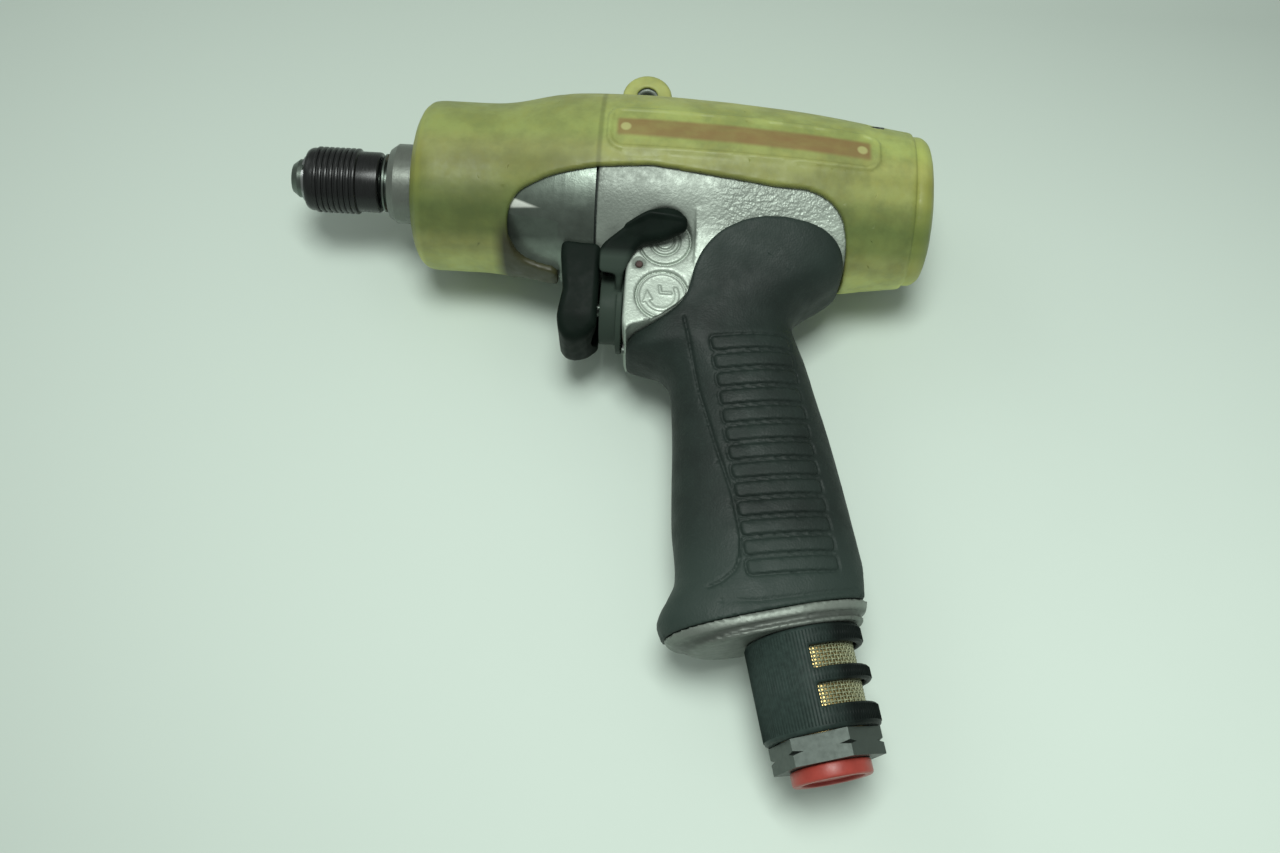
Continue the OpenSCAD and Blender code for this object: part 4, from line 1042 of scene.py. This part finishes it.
class WRENCH_OT_cover(bpy.types.Operator):
    """Models the soft cover with its window, hanger ear and plate frame"""
    bl_idname = "wrench.cover"
    bl_label = "Protective cover"

    def execute(self, context):
        block = Block((36, -33, -33), (199.5, 43, 33), sizes().cover_grid / MM)
        z = np.abs(block.z)
        outer = block.turned([[COVER_NOSE[0][0], 0]] + COVER_NOSE +
                             barrel_run(BARREL_START, BARREL_END, 0) + COVER_TAIL, 0.45)
        around_ear = block.from_bar(*EAR)
        radius, half = 7.85, 4.6
        post = np.maximum(np.abs(block.x - EAR[0]) - radius, between(20, block.y, EAR[1]))
        ear = common(union(around_ear - radius, post), z - half, 1.6)
        body = union(outer - self.plate_frame(block), ear, 2.5)
        tongue = block.drawn(mirrored(TONGUE), "xz", 0.7)
        window = cut(block.slab(WINDOW, THROUGH, 1.6), np.maximum(tongue, block.y + 15), 0.8)
        body = cut(body, window, 0.9)
        body = cut(body, self.inside(block, COVER_CLEARANCE), 0.3)
        body = cut(body, common(around_ear - EAR_RADIUS - COVER_CLEARANCE, z - EAR_HALF - COVER_CLEARANCE))
        hole = around_ear - 3.2
        body = cut(body, np.maximum(hole, z - 20), 0.8)
        body = cut(body, screw_bore(block, 3.05, 10), 0.5)
        piece = skin("urethane_cover", block, body, "cover_yellow", 0.02)
        dress(piece, "housing", "cover_yellow", "protective_cover")
        return {"FINISHED"}

    @staticmethod
    def inside(block, clearance):
        """Distance to what the cover fits round: the case's nose, the barrel and the rear cap."""
        return block.turned([[30, 0], [30, NECK_RADIUS + clearance]] +
                            [[x - clearance, r + clearance] for x, r in CASE_NOSE] +
                            barrel_run(BARREL_START + 1.6, BARREL_END - 0.8, COVER_WALL - clearance) +
                            [[x + clearance, r + (clearance if r else 0)] for x, r in CAP_TAIL], 0.3)

    @staticmethod
    def plate_frame(block):
        """Height of the raised frame round the nameplate, with a slightly raised field inside it."""
        half_length, half_width, corner, barrel_radius = 40.5, 8, 5.0, 29.5
        around = np.arctan2(block.y, block.z) - PLATE_TURN
        edge = rounded(np.abs(block.x - PLATE_X) - (half_length - corner),
                       np.abs(around * barrel_radius) - (half_width - corner), corner)
        rim, rim_half, field = 0.62, 0.75, 0.16
        height = rim * ramp(np.abs(edge + rim_half), rim_half, 0.6) + field * ramp(edge, 0.0, 0.8)
        return height * (np.cos(around) > 0)


def screw_bore(block, radius, start):
    """Distance to a bore for the cover's screw, from a height above the output axis outwards."""
    up = block.y * math.sin(SCREW_TURN) + block.z * math.cos(SCREW_TURN)
    side = block.y * math.cos(SCREW_TURN) - block.z * math.sin(SCREW_TURN)
    return np.maximum(np.hypot(block.x - SCREW_X, side) - radius, start - up)


class WRENCH_OT_housing(bpy.types.Operator):
    """Models the cast housing with its boss, marks, ear, handle core and foot flange"""
    bl_idname = "wrench.housing"
    bl_label = "Motor housing"

    def execute(self, context):
        block = Block((93, -148, -31), (186, 41, 31), sizes().housing_grid / MM)
        z = np.abs(block.z)
        start = SEAM_X + 0.5
        barrel = block.turned([[start, 0]] + barrel_run(start, HOUSING_END_X, COVER_WALL) +
                              [[HOUSING_END_X, 0]], 0.3)
        region = block.slab(RUBBER_OUTLINE, THROUGH, 1.3)
        core = block.handle(GRIP, 15, FLANGE_START_S + 1, CORE_INSET)
        # In front of the rubber, the core is no wider than the boss
        boss_end = 126
        core = np.maximum(core, np.minimum(np.minimum(z - BOSS_HALF, region), boss_end - block.x))
        boss = cut(block.slab(BOSS_OUTLINE, BOSS_HALF, 0.8, 1.2), region - 0.05)
        body = union(union(barrel, boss, 5.0), core, 1.0)
        body = union(body, self.flange(block))
        around_ear = block.from_bar(*EAR)
        post = np.maximum(np.abs(block.x - EAR[0]) - EAR_RADIUS, between(24, block.y, EAR[1]))
        ear = union(common(around_ear - EAR_RADIUS, z - EAR_HALF, 0.6), np.maximum(post, z - EAR_HALF), 0.5)
        hole = around_ear - 2.6
        body = cut(union(body, ear, 0.5), hole)
        body = np.maximum(body, start - block.x)
        # Spigot of the front case and the motor, then the pocket, sleeve and chamber of the throttle valve
        for x0, x1, radius, y, edge in ((SEAM_X - 2, SEAM_X + 6, 22.15, 0, 0),
                                        (SEAM_X + 5.5, HOUSING_END_X + 2, 19.6, 0, 0),
                                        (98, 106, 11.0, TRIGGER_Y, 0.3),
                                        (102, 124, 9.15, TRIGGER_Y, 0),
                                        (123, 141, 7.2, TRIGGER_Y, 0)):
            body = cut(body, block.rod_x(x0, x1, radius, y), edge)
        # Seat of the inlet bushing and the air passage up the handle
        body = cut(cut(body, block.foot(121, 145, 9.1)), block.foot(40, 132, 4.8))
        # Hole of the lever's pin in each cheek, wider at its mouth
        pin = block.from_bar(*LEVER_PIN)
        body = cut(body, np.maximum(pin - 1.15, 12 - z))
        body = cut(body, np.maximum(pin - 1.9, 16.3 - z), 0.3)
        body = cut(body, self.plate_seat(block, barrel), 0.3)
        body = cut(body, screw_bore(block, 1.25, 19))
        for x, y in DIALS:
            recess = block.from_bar(x, y) - (DIAL_RADIUS + DIAL_CLEARANCE)
            body = cut(body, np.maximum(recess, BOSS_HALF - DIAL_DEPTH - block.z), 0.3)
        piece = skin("cast_housing", block, body, "cast_silver", 0.03)
        dress(piece, "housing", "cast_silver", "motor_housing")
        self.dials()
        seat = Matrix.Translation((*LEVER_PIN, 0)) @ Matrix.Rotation(-math.pi / 2, 4, "Y")
        profile = [[-16.4, 0], [-16.4, 0.8], [-16.2, 1.05], [16.0, 1.05], [16.2, 0.8], [16.2, 0]]
        piece = spun("lever_pin", profile, "pin_brown", 32, seat)
        dress(piece, body_of("bush_pin"), "bright_steel", "bush_pin")
        return {"FINISHED"}

    @staticmethod
    def plate_seat(block, barrel):
        """Distance to the shallow seat of the nameplate, a round-ended slot in the left of the barrel."""
        across = np.abs(block.y * math.cos(PLATE_TURN) - block.z * math.sin(PLATE_TURN))
        outwards = block.y * math.sin(PLATE_TURN) + block.z * math.cos(PLATE_TURN)
        slot = rounded(np.abs(block.x - PLATE_X) - 36, across - 2.7, 2.6)
        return np.maximum(np.maximum(slot, -(barrel + 1.15)), 5 - outwards)

    @staticmethod
    def flange(block):
        """Rim below the grip, a groove, a second edge, and the collar that carries the deflector."""
        whole, inset = (block.handle(FLANGE, FLANGE_START_S, FLANGE_END_S, depth) for depth in (0.0, 1.0))
        whole = cut(whole, np.maximum(between(136.7, block.s, 138.3), -inset), 0.5)
        return union(whole, block.foot(130, FLANGE_END_S, 15.6), 0.6)

    @staticmethod
    def dials():
        """Round faces in the left cheek of the boss: plain rings on one, a curved arrow on the other."""
        block = Block((108, -50, 14.6), (126.4, -15, 17.4), 0.2)
        region = block.drawn(RUBBER_OUTLINE, "xy")
        for name, (x, y) in zip(("dial_upper", "dial_lower"), DIALS):
            u, v = block.x - x, block.y - y
            r = np.hypot(u, v)
            depth = 0.8 * ramp(np.abs(r - 7.5), 0.3, 0.3)
            if name == "dial_upper":
                for ring in (4.4, 2.7):
                    depth = np.maximum(depth, 0.65 * ramp(np.abs(r - ring), 0.3, 0.3))
            else:
                depth = np.maximum(depth, 0.5 * ramp(r, 6.6, 0.7))
                sweep = [math.radians(a) for a in range(-150, 31, 10)]
                arrow = path_distance([(4.5 * math.cos(a), 4.5 * math.sin(a)) for a in sweep], u, v) - 0.6
                head = outline_distance([[-2.5, -1.5], [-4.4, 1.6], [-5.6, -2.6]], u, v)
                hook = path_distance([(-0.8, 2.8), (-0.4, 0.8), (2.6, 0.8)], u, v) - 0.4
                depth = depth - 0.5 * ramp(np.minimum(np.minimum(arrow, head), hook), 0.0, 0.35)
            face = between(15.8, block.z, BOSS_HALF - 0.05 - depth)
            disc = np.maximum(np.maximum(r - DIAL_RADIUS, face), 0.25 - region)
            piece = skin(name, block, disc.astype(np.float32), "cast_silver", 0.02)
            dress(piece, "housing", "cast_silver")


class WRENCH_OT_grip(bpy.types.Operator):
    """Models the rubber grip with its grooves and raised bars"""
    bl_idname = "wrench.grip"
    bl_label = "Rubber grip"

    def execute(self, context):
        block = Block((100, -146, -30), (178, -12, 30), sizes().grip_grid / MM)
        body = common(block.handle(GRIP, 10, GRIP_END_S), block.slab(RUBBER_OUTLINE, THROUGH, 1.3), 1.4)
        body = self.pattern(block, body)
        body = cut(body, block.handle(GRIP, 5, GRIP_END_S + 5, RUBBER_WALL))
        body = cut(body, block.turned([[90, 0]] + barrel_run(90, 172, COVER_WALL - 0.1) + [[172, 0]]))
        piece = skin("rubber_grip", block, body, "grip_black", 0.02)
        dress(piece, "housing", "grip_black", "grip_rubber")
        return {"FINISHED"}

    @staticmethod
    def pattern(block, body):
        """A seam, a crease and raised bars in thin grooves down each cheek, and a line round the foot."""
        s, o = block.s, block.o
        groove = 0.0
        for path, depth, half, soft in ((GRIP_SEAM, 0.75, 0.38, 0.7), (GRIP_FOOT_LINE, 0.45, 0.45, 0.9),
                                        (GRIP_CREASE, 0.5, 0.6, 1.4)):
            groove = np.maximum(groove, depth * ramp(path_distance(path, s, o), half, soft))
        relief = np.zeros(groove.shape, np.float32)
        pitch, slope, half, corner = 5.6, 0.1, 1.95, 1.0
        for k in range(-2, 11):
            left, right = -9.6 - 0.3 * k, 13.2 - 0.12 * k
            away = np.abs(o - (left + right) / 2) - ((right - left) / 2 - corner)
            bar = rounded(away, np.abs(s - (66 + pitch * k) - slope * (o + 7)) - (half - corner), corner)
            relief = np.maximum(relief, 0.3 * ramp(bar, 0.0, 0.5))
            groove = np.maximum(groove, 0.65 * ramp(np.abs(bar - 0.4), 0.34, 0.6))
        cheek = np.clip((np.abs(block.z) - 8) / 4, 0, 1)
        return body + (groove - relief) * cheek


class WRENCH_OT_trigger(bpy.types.Operator):
    """Models the trigger hood and the reverse lever with its wing"""
    bl_idname = "wrench.trigger"
    bl_label = "Trigger and reverse lever"

    def execute(self, context):
        step = sizes().small_grid / MM
        block = Block((84, -57, -18), (101, -16, 18), step)
        piece = skin("trigger_hood", block, self.hood(block), "black_plastic")
        dress(piece, "trigger_unit", "black_plastic", "trigger")
        block = Block((96.5, -54, -15), (128, -13, 29), step)
        piece = skin("reverse_wing", block, self.lever(block), "black_plastic")
        dress(piece, "reverse_unit", "black_plastic", "reverse_lever")
        return {"FINISHED"}

    @staticmethod
    def hood(block):
        """Distance to the hood, hollow round its hub, with the bores of the rod and of the cross pin."""
        front = [[z, y] for z, y in TRIGGER_EDGE] + [[-z, y] for z, y in reversed(TRIGGER_EDGE)]
        body = common(block.drawn(TRIGGER_OUTLINE, "xy", 0.7), block.drawn(front, "zy", 1.8), 2.2)
        hollow = block.rod_x(89.6, 103, 11.1, TRIGGER_Y)
        hub = block.rod_x(80, 95, 4.8, TRIGGER_Y)
        rod_bore = block.rod_x(87.9, 102, 2.55, TRIGGER_Y)
        pin_bore = np.maximum(block.from_bar(93, TRIGGER_Y) - 1.05, np.abs(block.z) - 8)
        barrel = block.radius - (smooth_curve(BARREL, block.x) - COVER_WALL + 0.5)
        body = cut(cut(cut(body, cut(hollow, hub), 0.4), rod_bore), pin_bore)
        return cut(body, barrel, 0.8).astype(np.float32)

    @staticmethod
    def lever(block):
        """Distance to the lever: a ring round the valve sleeve, its click plate, and an arm with a wing."""
        ring = block.rod_x(RING_FRONT_X, RING_REAR_X, 10.5, TRIGGER_Y)
        click_plate = np.maximum(block.rod_x(103.9, RING_REAR_X, 13.2, TRIGGER_Y), block.y - TRIGGER_Y)
        wing = common(block.drawn(WING_PLAN, "xy", 1.0), block.drawn(WING_SECTION, "yz", 0.8), 1.6)
        wing = common(wing, block.drawn(WING_SIDE, "xz", 0.8), 1.4)
        body = union(union(ring, click_plate, 0.5), wing, 1.2)
        # Only the wing reaches further forward than the ring
        body = np.maximum(body, np.minimum(RING_FRONT_X - block.x, 16.3 - block.z))
        crest = path_distance([(106, -22.3), (112.4, -19.3), (122.6, -20)], block.x, block.y)
        body = body - 0.4 * ramp(crest, 0.7, 1.2) * (block.z > 15)
        sleeve_bore = block.rod_x(97, 107, 7.55, TRIGGER_Y)
        ball_groove = cut(block.rod_x(105.05, 108, 12.75, TRIGGER_Y), block.rod_x(104, 109, 10.45, TRIGGER_Y))
        barrel = block.radius - 29.3
        body = cut(cut(body, barrel, 0.8), sleeve_bore)
        return cut(body, ball_groove).astype(np.float32)


class WRENCH_OT_chuck(bpy.types.Operator):
    """Turns the chuck sleeve with its ribs"""
    bl_idname = "wrench.chuck"
    bl_label = "Chuck sleeve"

    def execute(self, context):
        profile = [[4.7, 8.2], [4.7, 8.6], [4.85, 9.0], [5.3, 9.35], [5.8, 9.6], [6.3, 9.72]]
        rib = [[0, 9.72], [0.4, 9.72], [0.62, 10.12], [0.75, 10.17], [1.35, 10.17], [1.5, 10.1]]
        for k in range(8):
            profile += [[7.2 + 1.7 * k + x, r] for x, r in rib]
        profile += [[20.85, 9.72], [21.0, 9.35], [26.8, 9.35], [27.3, 9.25], [27.6, 9.0], [27.7, 8.7],
                    [27.7, 6.05], [23, 6.05], [23, 7.7], [16, 7.7], [16, 6.05], [12, 6.05], [12, 8.2]]
        piece = spun("ribbed_sleeve", profile, "black_steel")
        dress(piece, "sleeve", "black_steel", "chuck_sleeve")
        return {"FINISHED"}


class WRENCH_OT_foot(bpy.types.Operator):
    """Models the exhaust deflector with its knurls, the silencer's wire cloth and the transit plug"""
    bl_idname = "wrench.foot"
    bl_label = "Foot of the handle"

    def execute(self, context):
        # The deflector turns with a little play at both ends
        gap = 0.15
        self.deflector(FLANGE_END_S + gap, DEFLECTOR_END_S - gap)
        self.knurls(FLANGE_END_S + gap + 1.2, DEFLECTOR_END_S - gap - 1.3)

        radius, wire = 13.05, 0.24
        # An even number of wires, so that the weave closes
        count = round(math.tau * radius * MM / sizes().cloth_pitch / 2) * 2
        piece = piece_from_tree("silencer_cloth", weave_tree(), {
            "Radius": radius * MM, "Pitch": math.tau * radius / count * MM, "Round": count, "Rows": 27,
            "Start": (FLANGE_END_S + 0.5) * MM, "Wire": wire * MM}, "mesh_brass")
        dress(piece, "housing", "brass", "silencer_mesh")
        tube = [[FLANGE_END_S, 12.62], [FLANGE_END_S, 12.75],
                [DEFLECTOR_END_S, 12.75], [DEFLECTOR_END_S, 12.62]]
        piece = spun("silencer_tube", tube, "brass", seat=foot_matrix())
        dress(piece, "housing", "brass")

        plug = [[-1.7, 5.4], [-1.7, 6.9], [-1.5, 7.1], [0.1, 7.1], [0.1, 10.7], [0.4, 11.1], [0.8, 11.2],
                [3.5, 11.2], [3.95, 11.05], [4.25, 10.7], [4.3, 10.4], [4.3, 9.0], [4.1, 8.7], [3.3, 8.6],
                [3.3, 0], [2, 0], [2, 5.4]]
        piece = spun("red_plug", [[BUSHING_END_S + s, r] for s, r in plug], "plug_red", seat=foot_matrix())
        dress(piece, "plug", "plug_red", "transit_plug")
        return {"FINISHED"}

    @staticmethod
    def deflector(s0, s1):
        """Rounded wall with an inner lip at its lower end, pierced by windows on one side."""
        block = Block((140, -175, -18), (190, -130, 18), sizes().small_grid / MM)
        across = np.hypot(block.o, block.z)
        inner, outer = 14.2, DEFLECTOR_RADIUS - KNURL_HEIGHT
        wall = np.abs(across - (inner + outer) / 2) - (outer - inner) / 2
        wall = common(wall, between(s0, block.s, s1), 1.4)
        lip = np.maximum(np.abs(across - 14.6) - 1.0, between(s1 - 2, block.s, s1))
        body = union(wall, lip)
        for a, b in DEFLECTOR_WINDOWS:
            body = cut(body, np.maximum(between(a, block.s, b), -0.8 - block.o), 0.9)
        piece = skin("deflector_ring", block, body.astype(np.float32), "deflector_black")
        dress(piece, "deflector", "black_plastic", "exhaust_deflector")

    @staticmethod
    def knurls(start, end):
        """Ribs in three runs above, between and below the windows, and in one run down the plain side."""
        tree = knurl_tree()
        (a, b), (c, d) = DEFLECTOR_WINDOWS
        margin = 0.7
        for label, s0, s1 in (("front", start, a - margin), ("middle", b + margin, c - margin),
                              ("rear", d + margin, end), ("whole", start, end)):
            piece = piece_from_tree("deflector_knurl_" + label, tree, {
                "Radius": (DEFLECTOR_RADIUS - KNURL_HEIGHT) * MM, "Count": sizes().knurl_count,
                "Start": s0 * MM, "Length": (s1 - s0) * MM, "Rib": 0.00036, "Plain Side": label == "whole"},
                "deflector_black")
            dress(piece, "deflector", "black_plastic")


class WRENCH_OT_springs(bpy.types.Operator):
    """Winds the springs of the throttle valve, click stop, chuck and pulse blades"""
    bl_idname = "wrench.springs"
    bl_label = "Springs"

    def execute(self, context):
        tree = spring_tree()
        valve = (0.0, TRIGGER_Y * MM, 0.0)
        click = (0.0, (TRIGGER_Y - 11.6) * MM, 0.0)
        # Piece, its CAD node, its two ends, radius, wire radius and turns, its centre and its turn about Y
        for name, node, (x0, x1, radius, wire, turns), centre, turn in (
                ("valve_coil", "valve_spring", (129.6, 141.0, 4.7, 0.45, 4), valve, 0.0),
                ("click_coil", "detent_spring", (108.2, 113.0, 1.0, 0.22, 5), click, 0.0),
                ("chuck_coil", "chuck_spring", (6.0, 12.0, 7.1, 0.35, 4), (0.0, 0.0, 0.0), 0.0),
                ("blade_coil_front", "blade_springs", (-6.2, 6.2, 1.0, 0.25, 6), (0.063, 0, 0), -math.pi / 2),
                ("blade_coil_rear", None, (-6.2, 6.2, 1.0, 0.25, 6), (0.075, 0, 0), -math.pi / 2)):
            piece = piece_from_tree(name, tree, {
                "Start": (x0 + wire) * MM, "Length": (x1 - x0 - 2 * wire) * MM, "Radius": radius * MM,
                "Wire": wire * MM, "Turns": float(turns), "Centre": centre, "Turn": (0.0, turn, 0.0)},
                "spring_steel")
            dress(piece, body_of(node or "blade_springs"), "spring_steel", *([node] if node else []))
            if name == "valve_coil":
                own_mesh(piece)
            if name == "chuck_coil":
                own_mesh(piece)
        return {"FINISHED"}


class WRENCH_PT_panel(bpy.types.Panel):
    """Lists the pieces and the colours of the wrench"""
    bl_label = "Pulse Wrench"
    bl_idname = "WRENCH_PT_panel"
    bl_space_type = "VIEW_3D"
    bl_region_type = "UI"
    bl_category = "Pulse Wrench"

    def draw(self, context):
        for operator in STEPS:
            self.layout.operator(operator.bl_idname)
        for group in (context.scene.wrench_sizes, context.scene.wrench_colours):
            column = self.layout.column()
            for key in group.bl_rna.properties.keys():
                if key not in ("rna_type", "name"):
                    column.prop(group, key)


STEPS = (WRENCH_OT_finishes, WRENCH_OT_stage, WRENCH_OT_cover, WRENCH_OT_housing, WRENCH_OT_grip,
         WRENCH_OT_trigger, WRENCH_OT_chuck, WRENCH_OT_foot, WRENCH_OT_springs)
CLASSES = (WrenchColours, WrenchSizes, *STEPS, WRENCH_PT_panel)


def register():
    for cls in CLASSES:
        bpy.utils.register_class(cls)
    bpy.types.Scene.wrench_colours = PointerProperty(type=WrenchColours)
    bpy.types.Scene.wrench_sizes = PointerProperty(type=WrenchSizes)


def unregister():
    del bpy.types.Scene.wrench_sizes
    del bpy.types.Scene.wrench_colours
    for cls in reversed(CLASSES):
        bpy.utils.unregister_class(cls)


def main():
    register()
    for step in STEPS:
        group, name = step.bl_idname.split(".")
        getattr(getattr(bpy.ops, group), name)()


if __name__ == "__main__":
    main()
